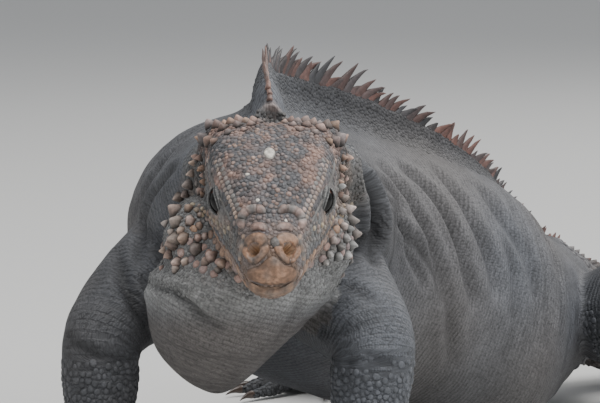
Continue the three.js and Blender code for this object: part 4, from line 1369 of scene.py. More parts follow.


# shade: painted shade from a shield's middle (0) to its rim (1), near black deep in a nostril and dark at
# each rim
plates = {
    "nasal": {
        "outline": [
            (242.2, 250), (244, 241), (249, 234.5), (256.5, 231.8), (264, 232.6), (268, 236.5),
            (269, 242.5), (270.6, 249), (266.5, 256), (260, 262.5), (254, 266), (248.5, 262.5),
            (244, 256.5),
        ],
        "centre": (252.6, 250.3), "twin": True, "tone": "snout", "grooves": (2.2, 18.6, 31),
        "profile": [
            (0, -5.6), (0.2, -5.2), (0.34, -2.8), (0.42, 0.2), (0.5, 0.62), (0.6, 0.8), (0.72, 0.95),
            (0.84, 0.95), (0.93, 0.7), (0.98, 0.2), (1, -0.7),
        ],
        "shade": [
            (0, 0.03), (0.14, 0.06), (0.24, 0.22), (0.34, 0.6), (0.42, 0.62), (0.55, 0.78), (0.68, 0.66),
            (0.82, 0.7), (0.92, 0.4), (1, 0.05),
        ],
    },
    "rostral": {
        "outline": [
            (272.4, 255), (278, 257.4), (285, 263.6), (293, 266.6), (298.5, 271), (298, 277.5), (290, 282),
            (281, 284.4), (271.5, 285.2), (262, 284.4), (253.5, 282), (246.5, 277.5), (245.5, 271),
            (251, 267.4), (259, 265), (266, 258.5),
        ],
        "centre": (272, 272), "twin": False, "tone": "snout",
        "profile": [(0, 1.9), (0.3, 1.8), (0.6, 1.5), (0.85, 0.95), (0.95, 0.5), (1, -0.7)],
        "shade": [(0, 0.78), (0.6, 0.66), (0.88, 0.42), (1, 0.06)],
    },
    "mental": {
        "outline": [
            (271.5, 286.4), (281, 285.8), (289, 283.6), (295, 280.6), (298, 284), (293, 291.5),
            (283, 295.6), (271.5, 297), (260, 295.6), (250, 291.5), (245.5, 284), (249, 281), (255, 283.8),
            (263, 285.8),
        ],
        "centre": (271.5, 290.5), "twin": False, "tone": "tan",
        "profile": [(0, 0.9), (0.6, 0.75), (0.9, 0.35), (1, -0.4)],
        "shade": [(0, 0.72), (0.8, 0.6), (1, 0.14)],
    },
    "internasal": {
        "outline": [
            (270, 241), (273, 237), (277.5, 237), (280.5, 241), (279, 246.6), (274.8, 248.8), (271, 246.2)
        ],
        "centre": (275, 242.5), "twin": False, "tone": "brownGrey",
        "profile": [(0, 1.1), (0.6, 0.9), (0.9, 0.45), (1, -0.3)],
        "shade": [(0, 1.2), (0.7, 1.0), (1, 0.2)],
    },
    "supranasal": {
        "outline": [
            (248.5, 228.5), (252, 223.8), (259, 222.2), (265.6, 223.5), (268.5, 228), (265.5, 231.6),
            (257, 230.6), (251, 232),
        ],
        "centre": (258.5, 227.2), "twin": True, "tone": "pink",
        "profile": [(0, 1.2), (0.6, 1.0), (0.9, 0.5), (1, -0.4)],
        "shade": [(0, 0.72), (0.7, 0.55), (1, 0.14)],
    },
    "pineal": {
        "outline": [
            (263.4, 153.5), (265.4, 149), (270, 147.9), (274.4, 150), (275.6, 154), (273.6, 158),
            (269.4, 159.6), (265.2, 157.8),
        ],
        "centre": (269.3, 153.8), "twin": False, "tone": "bone",
        "profile": [(0, 0.75), (0.3, 0.9), (0.6, 1.0), (0.9, 0.6), (1, -0.3)],
        "shade": [(0, 0.8), (0.3, 1.05), (0.7, 1.0), (1, 0.3)],
    },
}
plateMesh = {"points": [], "faces": [], "tone": [], "roots": [], "spread": []}
plateZones = []
plateShape = {"round": 40, "across": 14, "rim": 0.42, "lump": 0.22}


def addPlateMesh(points, faces, tone, root, spread):
    start = sum(len(p) for p in plateMesh["points"])
    plateMesh["points"].append(points)
    plateMesh["faces"] += [tuple(v + start for v in f) for f in faces]
    plateMesh["tone"].append(tone)
    plateMesh["roots"].append(np.repeat(root[None], len(points), 0))
    plateMesh["spread"].append(spread)


def closedLine(points, count):
    line = np.array(points, float)
    n = len(line)
    wrapped = np.concatenate([line[-2:], line, line[:3]])
    p = (2 + np.arange(count) * n / count) / (len(wrapped) - 1)
    return along(wrapped, p)


def addPlate(plate, flip):
    count, steps, rimAt = plateShape["round"], plateShape["across"], plateShape["rim"]
    isHole = plate["profile"][0][1] < 0
    outline, middle = (mirrored(line) if flip else line for line in (plate["outline"], [plate["centre"]]))
    edge, middle = closedLine(outline, count), np.array(middle[0])
    s = np.linspace(0, 1, steps)
    height = np.interp(s, *np.transpose(plate["profile"]))
    tint = np.interp(s, *np.transpose(plate["shade"]))
    points, tone, spread = [], [], []
    base = colours[plate["tone"]]
    ground = np.mean([skinNow.seen(*(middle + (q - middle) * 0.8))[1] for q in edge[::5]], axis=0)
    if isHole:
        turns = np.arange(0, 6.28, 0.6)
        rimSpots = [
            skinNow.seen(middle[0] + 6 * math.cos(t), middle[1] + 6.5 * math.sin(t))[0] for t in turns
        ]
        holeMiddle = np.mean(rimSpots, axis=0)
    for k in range(steps):
        for j in range(count if k else 1):
            place, normal = skinNow.seen(*(middle + (edge[j] - middle) * s[k]))
            if isHole and s[k] < rimAt:
                rim = skinNow.seen(*(middle + (edge[j] - middle) * rimAt))[0]
                place = rim * s[k] / rimAt + holeMiddle * (1 - s[k] / rimAt) if k else holeMiddle
                normal = ground
            gaps = [(j - at + 20) % count - 20 for at in plate.get("grooves", ())]
            dip = sum(math.exp(-(gap / 1.3) ** 2) for gap in gaps) * smooth(s[k], rimAt, 0.6)
            lump = plateShape["lump"] * math.sin(1.9 * j + 2.6 * k) * math.sin(0.83 * j - 1.7 * k)
            lump = lump * smooth(s[k], 0.4, 0.55) * smooth(-s[k], -0.96, -0.85)
            points.append(
                place + unit(normal + ground) * (height[k] + lump - 0.95 * dip * max(height[k], 0))
            )
            wobble = 1 + 0.16 * math.sin(3 * j + 5 * k) * 0.4
            own = mix(colours["rust"] * 1.5, base, smooth(s[k], 0.34, 0.46)) if isHole else base
            # painted shade and light: darker in the nostrils and at the rims by shade, darker in the
            # grooves by dip, lighter where a lump stands up
            tone.append(own * tint[k] * wobble * (1 + 0.8 * lump) * (1 - 0.8 * dip))
            spread.append((edge[j] - middle) / 30 * s[k])
    faces = [(0, 1 + j, 1 + (j + 1) % count) for j in range(count)]
    for k in range(1, steps - 1):
        for j in range(count):
            m = (j + 1) % count
            a = 1 + (k - 1) * count
            faces.append((a + j, a + count + j, a + count + m, a + m))
    points = np.array(points)
    at = 1 + 8 * count
    if np.cross(points[at + count // 4] - points[at], points[at + count // 2] - points[at]) @ ground < 0:
        faces = [f[::-1] for f in faces]
    tone = np.array(tone) * (1 + 0.34 * drift(points, 1.3, 31) + 0.3 * drift(points, 4.0, 32))[:, None]
    if plate["tone"] != "bone":
        outer = np.repeat(smooth(s, 0.36, 0.5) if isHole else np.ones(steps), [1] + [count] * (steps - 1))
        tone = mix(tone, colours["ash"] * 0.7, outer * (0.14 + 0.5 * drift(points, 3.2, 35)))
    addPlateMesh(points, faces, np.clip(tone, 0, 1), points.mean(0), np.array(spread))
    plateZones.append(edge)


for plate in plates.values():
    for flip in ((False, True) if plate["twin"] else (False,)):
        addPlate(plate, flip)

# Long shields: a line on the picture, half as wide as given, with a domed section.
bands = {
    "prefrontal": {
        "line": [(242.4, 229), (241.4, 221), (244.4, 213.6), (251, 209.4), (259, 209), (266, 212.6)],
        "half": 4.6, "high": 1.7, "parts": 4, "tones": ("ash", "pink"),
    },
    "browMiddle": {
        "line": [(208.5, 160), (211.5, 176), (217.5, 193), (226, 210), (233.5, 226)], "half": 1.2,
        "high": 0.7, "tones": ("brownGrey", "ash"),
    },
    "noseSide": {
        "line": [(239.5, 262), (240.5, 252), (243.5, 241), (243, 233)], "half": 2.2, "high": 0.5,
        "tones": ("ash", "tan"),
    },
}
bandShape = {"long": 44, "across": 11}


def addBand(line, band):
    count, across = bandShape["long"], bandShape["across"]
    p = np.linspace(0, 1, count)
    centre = along(np.array(line, float), p)
    way = unit(np.gradient(centre, axis=0))
    side = np.stack([-way[:, 1], way[:, 0]], -1)
    taper = np.minimum(1, (np.sin(np.pi * np.clip(p, 0.01, 0.99)) * 2.2)) ** 0.5
    notch = 1 - 0.5 * bell(np.abs(p * band.get("parts", 1) % 1 - 0.5) - 0.5, 0.06)
    points, tone, spread = [], [], []
    for i in range(count):
        for j in range(across):
            c = -1 + 2 * j / (across - 1)
            place, normal = skinNow.seen(*(centre[i] + side[i] * c * band["half"] * taper[i]))
            dome = math.sqrt(max(0, 1 - c * c))
            high = band["high"] * dome * taper[i] * notch[i] - 0.35 * (1 - dome)
            points.append(place + normal * high)
            own = mix(*(colours[key] for key in band["tones"]), 0.4 + 0.3 * math.sin(i * 0.4))
            # painted shade: each band darker towards its edges and in its notches
            tone.append(own * (0.22 + 0.62 * dome) * notch[i])
            spread.append((0.1 * c, i / count - 0.5))
    points = np.array(points)
    corners = [i * across + j for i in range(count - 1) for j in range(across - 1)]
    faces = [(c, c + across, c + across + 1, c + 1) for c in corners]
    a, b, c = points[across * 20 + 5], points[across * 21 + 5], points[across * 21 + 6]
    if np.cross(b - a, c - a) @ (eyePoint - a) < 0:
        faces = [f[::-1] for f in faces]
    tone = np.array(tone) * (1 + 0.4 * drift(points, 1.4, 33) + 0.3 * drift(points, 4.0, 34))[:, None]
    addPlateMesh(points, faces, np.clip(tone, 0, 1), points.mean(0), np.array(spread))
    half = side * band["half"] * taper[:, None]
    plateZones.append(np.concatenate([centre + half, (centre - half)[::-1]]))


for band in bands.values():
    addBand(band["line"], band)
    addBand(mirrored(band["line"]), band)
joinedPlates = [value if key == "faces" else np.concatenate(value) for key, value in plateMesh.items()]
coatPiece("snoutPlates", *joinedPlates, plateLook, "head_scales")
print("snout plates set")


def onPicture(points):
    rel = points - eyePoint
    away = rel @ lookAhead
    x = picture["x"] + picture["scale"] * (rel @ lookRight) / away
    return np.stack([x, picture["y"] - picture["scale"] * (rel @ lookUp) / away], -1)


def insideOutline(spots, outline):
    x, y = spots.T
    inside = np.zeros(len(spots), bool)
    for (ax, ay), (bx, by) in zip(outline, np.roll(outline, -1, 0)):
        crosses = (ay > y) != (by > y)
        where = (bx - ax) * (y - ay) / (by - ay if by != ay else 1e-9) + ax
        inside ^= crosses & (x < where)
    return inside


def underPlates(points, normals):
    spots = onPicture(points)
    seen = (unit(eyePoint - points) * normals).sum(1) > 0.05
    back, _, _ = headLocal(points)
    hidden = np.zeros(len(points), bool)
    for zone in plateZones:
        hidden |= insideOutline(spots, zone)
    return hidden & seen & (back < 70)


def underLids(points):
    hidden = np.zeros(len(points), bool)
    for middle, slit, over, look in lidZones:
        rel = points - middle
        a = (rel @ slit + lid["shift"]) / (lid["outer"][0] * 0.86)
        b = rel @ over / (lid["outer"][1] * 0.84)
        hidden |= (a ** 2 + b ** 2 < 1) & (rel @ look > -2)
    return hidden


# Tubercles and cones, each with its own size: picture point, across, high.
tubercles = {
    "jowlRight": [
        (180, 197, 4.6, 4.0), (176, 211, 5.6, 4.2), (189, 209, 4.2, 3.2), (177, 222, 5.2, 4.0),
        (190, 221, 4.4, 3.2), (160, 235, 6.0, 4.6),
        (184, 238, 4.8, 3.8), (174, 243, 6.0, 4.8), (196, 249, 5.6, 4.6), (170, 254, 4.2, 3.2),
        (212, 257, 5.2, 4.0), (190, 184, 4.6, 4.2),
        (193, 173, 3.4, 3.4), (195, 163, 3.2, 3.0), (186, 194, 3.6, 3.0), (199, 226, 3.6, 2.6),
        (205, 236, 3.4, 2.4), (186, 262, 3.8, 3.0),
        (206, 262, 4.0, 3.0), (222, 264, 4.2, 3.2), (181, 231, 3.6, 2.8), (198, 238, 3.4, 2.4),
        (167, 224, 3.4, 2.6), (172, 232, 3.0, 2.2),
        (165, 250, 3.4, 2.6), (218, 270, 3.4, 2.4), (178, 262, 4.4, 3.2), (176, 270, 4.0, 2.6),
        (200, 215, 3.0, 2.2),
    ],
    "jowlLeft": [
        (338, 186, 3.6, 3.6), (341, 199, 3.8, 3.8), (347, 210, 4.4, 4.2), (350, 221, 4.4, 4.2),
        (353, 234, 4.4, 4.2), (350, 245, 4.4, 3.8),
        (341, 212, 3.6, 2.8), (343, 226, 3.6, 2.8), (345, 238, 3.8, 2.8), (340, 247, 3.8, 3.0),
        (333, 240, 3.4, 2.6), (334, 222, 3.2, 2.4),
        (338, 256, 4.0, 3.0), (346, 255, 3.8, 3.2), (330, 254, 3.6, 2.4), (333, 205, 3.0, 2.4),
        (348, 229, 3.4, 3.0), (326, 262, 3.6, 2.6),
    ],
}
occiput = {
    "cones": [  # back and side on the head, across, high
        (85, 8, 4.8, 4.4), (87, 14, 6.0, 6.0), (88, 20.5, 5.6, 5.6), (87, 26.5, 5.2, 5.4),
        (81, 11, 4.4, 3.6), (82, 17.5, 5.2, 4.6), (81.5, 23.5, 5.0, 4.4),
        (80, 29, 5.4, 5.4), (74.5, 9, 3.8, 2.6), (75, 15, 4.4, 3.4), (75.5, 21, 4.6, 3.6),
        (74, 27, 4.6, 4.0), (69, 12, 3.2, 2.0), (69, 18.5, 3.6, 2.4), (68, 24.5, 3.6, 2.6),
        (73.5, 30.5, 4.0, 3.6), (79.5, 5.5, 3.6, 2.6),
    ],
    # back and high on the head's side, across, high
    "temple": [
        (74, 14, 3.4, 3.4), (79, 16, 3.6, 3.8), (70, 9, 3.2, 3.0), (76, 9, 3.4, 3.6), (81, 10, 3.6, 3.8),
        (69, 3, 3.2, 3.0), (86, 12, 3.8, 3.8), (88, 20, 4.0, 4.2),
    ],
}


def tubercleTemplate():
    # a stout cone with a blunt tip and five faint keels
    dome, _ = ballOf("knob", 12, 8)
    bpy.ops.object.mode_set(mode="EDIT")
    bpy.ops.mesh.select_all(action="SELECT")
    bpy.ops.mesh.bisect(plane_co=(0, 0, -0.3), plane_no=(0, 0, 1), clear_inner=True)
    bpy.ops.object.mode_set(mode="OBJECT")
    points = pointsOf(dome) * mm
    z = np.clip(points[:, 2], 0, 1)
    around = np.arctan2(points[:, 1], points[:, 0])
    points[:, :2] *= ((1 - 0.58 * z) * (1 + 0.15 * np.cos(5 * around + 0.6) * (1 - z)))[:, None]
    movePoints(dome, points / mm)
    return templateOf(dome)


knob = tubercleTemplate()
rng = np.random.default_rng(77)
bumps = []  # root, normal, across, high, colour
for groupName, group in tubercles.items():
    # painted light: the left jowl's tubercles paler, on the lit side
    pale = 0.35 if groupName == "jowlLeft" else 0
    for x, y, wide, high in group:
        hit = skinNow.seen(x, y)
        if hit is None or np.linalg.norm(hit[0] - headPlace(60, 0, 0)) > 75:
            hit = skinNow.nearest(eyePoint + pictureRay(x, y) * 1745)  # past the outline
        warm = mix(colours["pink"], colours["tan"], rng.random())
        tint = mix(warm, colours["ash"] * 1.6, 0.2 + pale + rng.random() * 0.5) * rng.uniform(0.5, 1.2)
        bumps.append((hit[0], hit[1], wide / 2 * 1.16, high, tint))
for sign in (1, -1):
    for back, side, wide, high in occiput["cones"]:
        hit = skinNow.cast(headPlace(back, side * sign, 60), -headUp)
        lift = headUp * 0.5 - headForward * 0.25 + headLeft * sign * 0.3
        cool = mix(colours["tan"], colours["slateBlue"] * 1.6, rng.random() * 0.8)
        tint = mix(colours["pink"] * 0.9, cool, rng.random())
        bumps.append(
            (hit[0], unit(hit[1] + lift), wide / 2 * 1.18, high * 0.76, tint * rng.uniform(0.5, 0.95))
        )
    for back, high, wide, tall in occiput["temple"]:
        hit = skinNow.cast(headPlace(back, 60 * sign, high), -headLeft * sign)
        if hit is None:
            continue
        tint = mix(colours["pink"], colours["tan"], rng.random()) * rng.uniform(0.7, 1.05)
        bumps.append(
            (hit[0], unit(hit[1] + headUp * 0.2 - headForward * 0.2), wide / 2, tall * 0.85, tint * 0.85)
        )
# more on both cheeks, wherever there is room
for sign in (1, -1):
    for _ in range(26):
        back, high = rng.uniform(56, 92), rng.uniform(-34, 2)
        hit = skinNow.cast(headPlace(back, 80 * sign, high), -headLeft * sign)
        if hit is None or min(np.linalg.norm(hit[0] - b[0]) - b[2] for b in bumps) < 2.6:
            continue
        wide = rng.uniform(3.0, 4.8)
        tint = mix(colours["pink"], colours["ash"] * 1.2, rng.random()) * rng.uniform(0.6, 0.95)
        bumps.append((hit[0], hit[1], wide / 2, wide * 0.36, tint))
roots, ups, halves, highs, tints = (np.array(v) for v in zip(*bumps))
aheads = np.where(np.abs(ups @ headUp)[:, None] < 0.8, headUp[None], -headForward[None])
count = len(roots)
sizes = np.stack(
    [halves * rng.uniform(0.9, 1.1, count), halves * rng.uniform(0.92, 1.25, count), highs], -1
)
# painted shade and light: each tubercle near black at its foot and lighter towards its tip
knobShade = [-0.3, 0, 0.3, 0.6, 1], [0.05, 0.13, 0.5, 1.0, 1.4]
bends = rng.uniform(-0.35, 0.1, count)
stamp(
    "tubercles", knob, roots, ups, aheads, sizes, tints, tubercleLook, "head_scales", knobShade, bends,
    rough=0.3,
)
print("tubercles:", len(roots))


# The small scales of head and nape, and rows of larger ones at the lips, brow and lower lid.
# step, radius, height, colour and line: on the head's sides by back and high
rowsOfScales = {
    "upperLip": (
        4.4, 2.15, 0.75, "tan", [(5, 1.6), (14, 1.5), (24, 0.8), (36, -0.3), (48, 0.2), (58, 2.6)]
    ),
    "upperLipSecond": (3.3, 1.6, 0.5, "brownGrey", [(8, 5.0), (18, 4.8), (30, 3.8), (44, 3.2), (56, 5.0)]),
    "lowerLip": (
        4.0, 2.0, 0.7, "tan", [(6, -3.6), (14, -3.8), (24, -4.4), (36, -5.2), (48, -4.2), (58, -1.6)]
    ),
    "lowerLipSecond": (3.6, 1.75, 0.5, "pink", [(7, -7.2), (16, -7.6), (28, -8.4), (40, -8.8), (54, -6.6)]),
    "jawRow": (4.6, 2.2, 1.0, "pink", [(18, -11.4), (30, -12.4), (44, -13.4), (58, -12)]),
}
# the same, with the line in points of the picture
pictureRows = {
    "underEye": (
        4.2, 1.05, 0.85, "yellow", [(198, 204), (206, 213), (215, 220.5), (224, 226.5), (233, 229)]
    ),
    "underEyeSecond": (
        7.0, 1.45, 0.9, "yellow", [(190, 202), (198, 211), (207, 219), (217, 226), (228, 232)]
    ),
    "browOuter": (5.0, 1.1, 0.8, "tan", [(208, 158), (209, 168), (213, 178)]),
    "browTop": (4.2, 1.0, 0.5, "tan", [(215, 160), (219, 174), (224, 188), (231, 203), (237.5, 220)]),
    "browSecond": (
        4.8, 1.1, 0.4, "brownGrey", [(219, 158), (223.5, 173), (229, 187), (235, 201), (240, 212)]
    ),
}


def placesOn(line, steps):
    # points at the given distances along a line
    fine = along(np.array(line, float), np.linspace(0, 1, 200))
    reach = reachOf(fine)
    distances = np.arange(0.5, reach[-1] / steps) * steps
    return [[np.interp(at, reach, column) for column in fine.T] for at in distances]


fixedSites = []  # place, normal, radius, height, sharp, colour, shown
rng = np.random.default_rng(5)
for step, radius, tall, toneName, line in rowsOfScales.values():
    for sign in (1, -1):
        for back, high in placesOn(line, step):
            hit = skinNow.cast(headPlace(back, 70 * sign, high), -headLeft * sign)
            if hit:
                tint = mix(colours[toneName], colours["slateBlue"] * 1.3, rng.random() * 0.6)
                fixedSites.append((*hit, radius, tall, 0.1, tint * rng.uniform(0.7, 1.0), 1))
for step, radius, tall, toneName, line in pictureRows.values():
    for drawn in (line, mirrored(line)):
        for spot in placesOn(drawn, step):
            hit = skinNow.seen(*spot)
            if hit:
                warm = mix(colours["pink"], colours["brownGrey"], rng.random())
                tint = mix(
                    mix(colours[toneName], warm, rng.random()), colours["ash"] * 1.3,
                    0.3 + 0.3 * rng.random(),
                )
                fixedSites.append((*hit, radius, tall, 0.3, tint * rng.uniform(0.75, 1.2), 1))
for root, up, half, high, tint in bumps:
    fixedSites.append((root, up, half * 0.95, 0, 0, tint, 0))
fixed = [np.array(v, float) for v in zip(*fixedSites)]
fixed[1] = unit(fixed[1])

coat = {"crown": 0.98, "cheek": 0.95, "jowl": 1.25, "nape": 0.9, "throat": 0.8, "fade": 9}


def headRadius(points, normals):
    # the radius of a scale at each point, or 0 for none
    back, side, high = headLocal(points)
    part, far, turn = readSkin(points)
    isPart = {name: part == i for i, name in enumerate(partNames)}
    onTop = smooth(overLevel(back, high), 4, 16)
    radius = coat["cheek"] + (coat["crown"] - coat["cheek"]) * onTop
    radius = radius + (coat["jowl"] - radius) * smooth(back, 52, 72) * (1 - onTop)
    radius = radius * (1 - 0.18 * smooth(-back, -24, -8))
    radius = np.where(back > 87, coat["nape"] * 0.94, radius)
    neck = isPart["trunk"] & (back < 130)
    fade = rng.random(len(points)) < smooth(-far, -coat["fade"], -4)
    radius = np.where(isPart["head"] & (back < 97), radius, np.where(neck & fade, coat["nape"], 0))
    throatFade = rng.random(len(points)) < smooth(points[:, 2], 88, 100)
    radius = np.where(isPart["dewlap"] & (points[:, 2] > 88) & throatFade, coat["throat"], radius)
    ridge = isPart["trunk"] & (np.abs(turn) < 16) & (far < 250)
    ridgeFade = rng.random(len(points)) < smooth(-np.abs(turn), -16, -7)
    radius = np.where(ridge & (radius == 0), np.where(ridgeFade, coat["nape"], 0), radius)
    facing = np.abs(normals @ headLeft) + normals @ headForward > 0.3
    onMouth = (back < 58) & (np.abs(overMouth(back, high)) < 1.0) & facing
    onEar = (fromEar(back, high) < 1) & (np.abs(side) > ear["side"])
    return np.where(onMouth | onEar, 0, radius)


sites, normals, radii = settle(fixed[0], fixed[2], scatter(skinNow, headRadius, 3))
clear = ~(underPlates(sites, normals) | underLids(sites))
sites, normals, radii = sites[clear], normals[clear], radii[clear]
own = toneAt(sites)
count = len(sites)
rng = np.random.default_rng(8)
back, side, high = headLocal(sites)
onTop = smooth(overLevel(back, high), 6, 16) * (back < 96)
raised = rng.random(count) < 0.2 + 0.16 * onTop
patch = 0.45 * drift(sites, 7, 51) + 0.6 * drift(sites, 3.6, 52) + 0.16 * rng.standard_normal(count)
warm = np.clip(smooth(patch, 0.0, 0.8) * (0.25 + 0.65 * onTop) + 0.3 * raised * (0.4 + 0.6 * onTop), 0, 1)
warmTone = mix(np.tile(colours["tan"], (count, 1)), colours["rust"], rng.random(count) * 0.7)
warmTone = mix(mix(warmTone, colours["pink"], 0.1 + rng.random(count) * 0.6), colours["ash"], 0.12)
warm = warm * (back < 99) * smooth(high, -20, -10)
tint = mix(own, warmTone, warm * 0.66) * (rng.uniform(0.52, 1.0, count) + 0.3 * raised * onTop)[:, None]
tint = mix(tint, colours["ash"] * 0.8, 0.6 * smooth(back, 89, 94) * smooth(-back, -112, -100))
# painted shade: the scales among the occiput's cones and the jowls' tubercles darker, and the crown a
# little darker
occiputShade, jowlShade = smooth(back, 64, 82) * (back < 90), smooth(back, 50, 66) * (1 - onTop) * (back < 99)
tint *= (1 - 0.06 * onTop - 0.36 * occiputShade - 0.25 * jowlShade)[:, None]
white = (rng.random(count) < 0.012 * onTop + 0.002) & (radii < 0.86) & (back < 90)
tint = np.where(white[:, None], colours["bone"], tint)
heights = radii * rng.uniform(0.22, 0.5, count) * (1 + 0.8 * raised) * (1 - 0.35 * (back > 99))
sharp = rng.uniform(0, 0.35, count) + 0.3 * raised
lean = -headForward[None] * rng.uniform(0, 0.35, count)[:, None]
shown = np.concatenate([(fixed[6] > 0) & ~underPlates(fixed[0], fixed[1]), np.ones(count, bool)])
lean = np.concatenate([np.zeros((len(fixed[0]), 3)), lean])
grown = (sites, normals, radii, heights, sharp, tint)
sites, normals, radii, heights, sharp, tint = (np.concatenate(pair) for pair in zip(fixed, grown))
mosaic("headScales", sites, normals, radii, heights, sharp, lean, np.clip(tint, 0, 1), shown, "head_scales")
print("head scales:", int(shown.sum()))


# Crest: spines along the ridge of neck, back and tail, in leaning tufts.
crest = {
    "neck": {
        "from": 0.05, "to": 0.238, "count": 20, "high": (5, 11), "long": (5.4, 6.6), "red": 0.3,
        "pale": 0.55,
    },
    "chest": {"from": 0.243, "to": 0.57, "count": 33, "high": (18, 12), "long": (6.8, 6.2), "red": 0.22},
    "belly": {"from": 0.578, "to": 0.985, "count": 40, "high": (11, 5.5), "long": (6.2, 4.4), "red": 0.5},
    "thin": 0.24,
    "lean": (0.35, 1.5),
    "tail": {"from": 8, "to": 600, "step": 6.6, "high": (5.2, 1.6), "long": (4.2, 2.4), "red": 0.7},
}


def between(pair, share):
    return pair[0] + (pair[1] - pair[0]) * share


# a flat curved blade: thick root, fine tip
bladeProfile = [0, 0.12, 0.3, 0.52, 0.74, 0.9, 1.0], [1.0, 0.98, 0.82, 0.6, 0.38, 0.2, 0.05]
blade = hornTemplate((-0.38, -0.2, 0.02, 0.24, 0.4), bladeProfile, 1, 0.8)
rng = np.random.default_rng(41)
upright = np.array([90.0])


def crestRow(rootOf, row, places, highs, longs, sunk):
    # for each spine its root, way, ahead, size, colour and bend
    spines, tuft = [], 0.0
    for i, at in enumerate(places):
        root, behind, up = rootOf(at)
        if i % 3 == 0:
            tuft = rng.uniform(*crest["lean"])  # neighbours lean together
        lean = tuft + rng.uniform(-0.14, 0.14) + 0.1 * (i % 3)
        sway = rng.uniform(-0.16, 0.16)
        way = unit(up + behind * lean * 0.55 + np.cross(up, behind) * sway)
        odd = rng.uniform(0.6, 1.12) * (1.0 if i % 4 else 0.72)
        high, long = highs[i] * odd, longs[i] * rng.uniform(0.85, 1.1)
        size = (long * crest["thin"], long * 0.5, high + sunk)
        bend = 0.1 + 0.4 * rng.random()
        red = np.clip(row["red"] + rng.uniform(-0.55, 0.55), 0, 1)
        horn = mix(
            colours["slateDark"] * rng.uniform(0.6, 1.5), colours["crestRed"] * rng.uniform(0.8, 1.5), red
        )
        tone = mix(horn, colours["pink"] * rng.uniform(0.45, 0.9), row.get("pale", 0.06) * (i < 13))
        spines.append((root - way * sunk, way, behind, size, tone, bend))
    return [np.array(v) for v in zip(*spines)]


def rootBelow(tops, up, above, within):
    # the skin under the middle one of three points of the ridge, and the ridge's way there
    hit = skinNow.cast(tops[1] + up * above, -up)
    root = hit[0] if hit and np.linalg.norm(hit[0] - tops[1]) < within else tops[1]
    return root, unit(tops[2] - tops[0]), up


def ridgeRoot(p):
    tops = bodyRings(np.array([p - 0.004, p, p + 0.004]), upright)[:, 0]
    up = sectionAxes(*(along(bodyForm[key], p) for key in ("turn", "lean", "roll")))[2][0]
    return rootBelow(tops, up, 26, 20)


def tailRoot(far):
    tops = tailRings(np.array([far - 3, far, far + 3]), upright)[:, 0]
    return rootBelow(tops, tailSizes(np.array([far]))[1][2][0], 10, 9)


rows = []
for name in ("neck", "chest", "belly"):
    row = crest[name]
    share = (np.arange(row["count"]) + 0.5) / row["count"]
    places, highs, longs = (
        between(pair, share) for pair in ((row["from"], row["to"]), row["high"], row["long"])
    )
    rows.append(crestRow(ridgeRoot, row, places, highs, longs, 2.2))
row = crest["tail"]
places = np.arange(row["from"], row["to"], row["step"])
share = (places - places[0]) / (places[-1] - places[0])
highs = between(row["high"], share) * (1 - 0.35 * bell(places, 40))
rows.append(crestRow(tailRoot, row, places, highs, between(row["long"], share), 1.2))
roots, ups, aheads, sizes, tones, bends = (np.concatenate(column) for column in zip(*rows))
bladeTint = [0, 0.15, 0.5, 0.85, 1], [1.2, 1.0, 0.8, 0.62, 0.8]
stamp(
    "crestSpines", blade, roots, ups, aheads, sizes, tones, spineLook, "skin", bladeTint, bends, rough=0.25
)
print("crest set:", len(roots), "spines")


# Paws: palm and toes as one finer skin for each, then claws.
paws = {
    "hand": {
        "lengths": [17, 25, 29, 28, 20], "fans": [52, 26, 3, -20, -46], "palm": (26, 12.5, 8), "lift": 6.0
    },
    "foot": {
        "lengths": [19, 30, 42, 52, 34], "fans": [38, 20, 4, -12, -44], "palm": (36, 12.5, 8), "lift": 6.0
    },
    "toe": [4.4, 4.6, 3.9, 4.1, 3.4, 2.9],
    "claw": {"long": 9.4, "radius": 2.0, "rise": 0.22, "bend": 0.44},
    "voxel": 1.15,
}
floorUp = np.array([0.0, 0.0, 1.0])


footing = {
    "hand_right": (np.array([-171.0, -176, 0]), unit([-0.36, -1, 0]), -1, "hand"),
    "hand_left": (np.array([-52.0, -192, 0]), unit([0.3, -1, 0]), 1, "hand"),
    "foot_left": (legPlace(*skin["legs"]["ankle"], 1), unit(rumpForward + rumpLeft * 0.45), 1, "foot"),
    "foot_right": (legPlace(*skin["legs"]["ankle"], -1), unit(rumpForward - rumpLeft * 0.45), -1, "foot"),
}
clawSpots, pawSkins, toeTops = [], [], []
for name, (wrist, ahead, sign, kind) in footing.items():
    paw = paws[kind]
    across = np.cross(ahead, -floorUp)
    long, wide, thick = paw["palm"]
    heel = np.array([wrist[0], wrist[1], thick - 1.2])
    middle = heel + ahead * long * 0.45
    palm, shape = ballOf(name + "Palm", 32, 20)
    movePoints(
        palm, middle + (shape * np.array((long * 0.72, wide, thick))) @ np.stack((ahead, across, floorUp))
    )
    forms = [palm]
    for length, fan in zip(paw["lengths"], paw["fans"]):
        way = turned(ahead, floorUp, fan * sign)
        root = middle + way * long * 0.2
        root[2] = thick * 0.7
        at = lambda share, high: np.array([*(root + way * (long * 0.35 + length * share))[:2], high])
        knuckles = (at(0.18, paw["lift"] + 1.6), at(0.42, paw["lift"] + 1.0), at(0.72, 4.6), at(1.02, 3.3))
        line = np.array([root, at(-0.1, thick * 0.9), *knuckles])
        forms.append(tube(name + "Toe", limbRings(line, paws["toe"], np.linspace(0, 1, 34), corners=18)))
        clawSpots.append((at(0.97, 3.6), way))
        toeTops.append((along(line, np.linspace(0.25, 0.97, 60)), name))
    hand = oneSkin(forms, name + "_skin", paws["voxel"], 4)
    knots = pointsOf(hand)
    knots += normalsOf(hand) * (0.28 * drift(knots, 5, 71))[:, None]
    knots[:, 2] = np.maximum(knots[:, 2], 0.2)
    movePoints(hand, knots)
    hand.data.shade_smooth()
    # painted shade: the paw darker low down, near the floor
    addTone(hand, toneAt(knots) * (0.85 + 0.25 * smooth(knots[:, 2], 2, 14))[:, None])
    hand.data.materials.clear()
    hand.data.materials.append(pawLook)
    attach(hand, "root")
    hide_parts(name)
    pawSkins.append(hand)


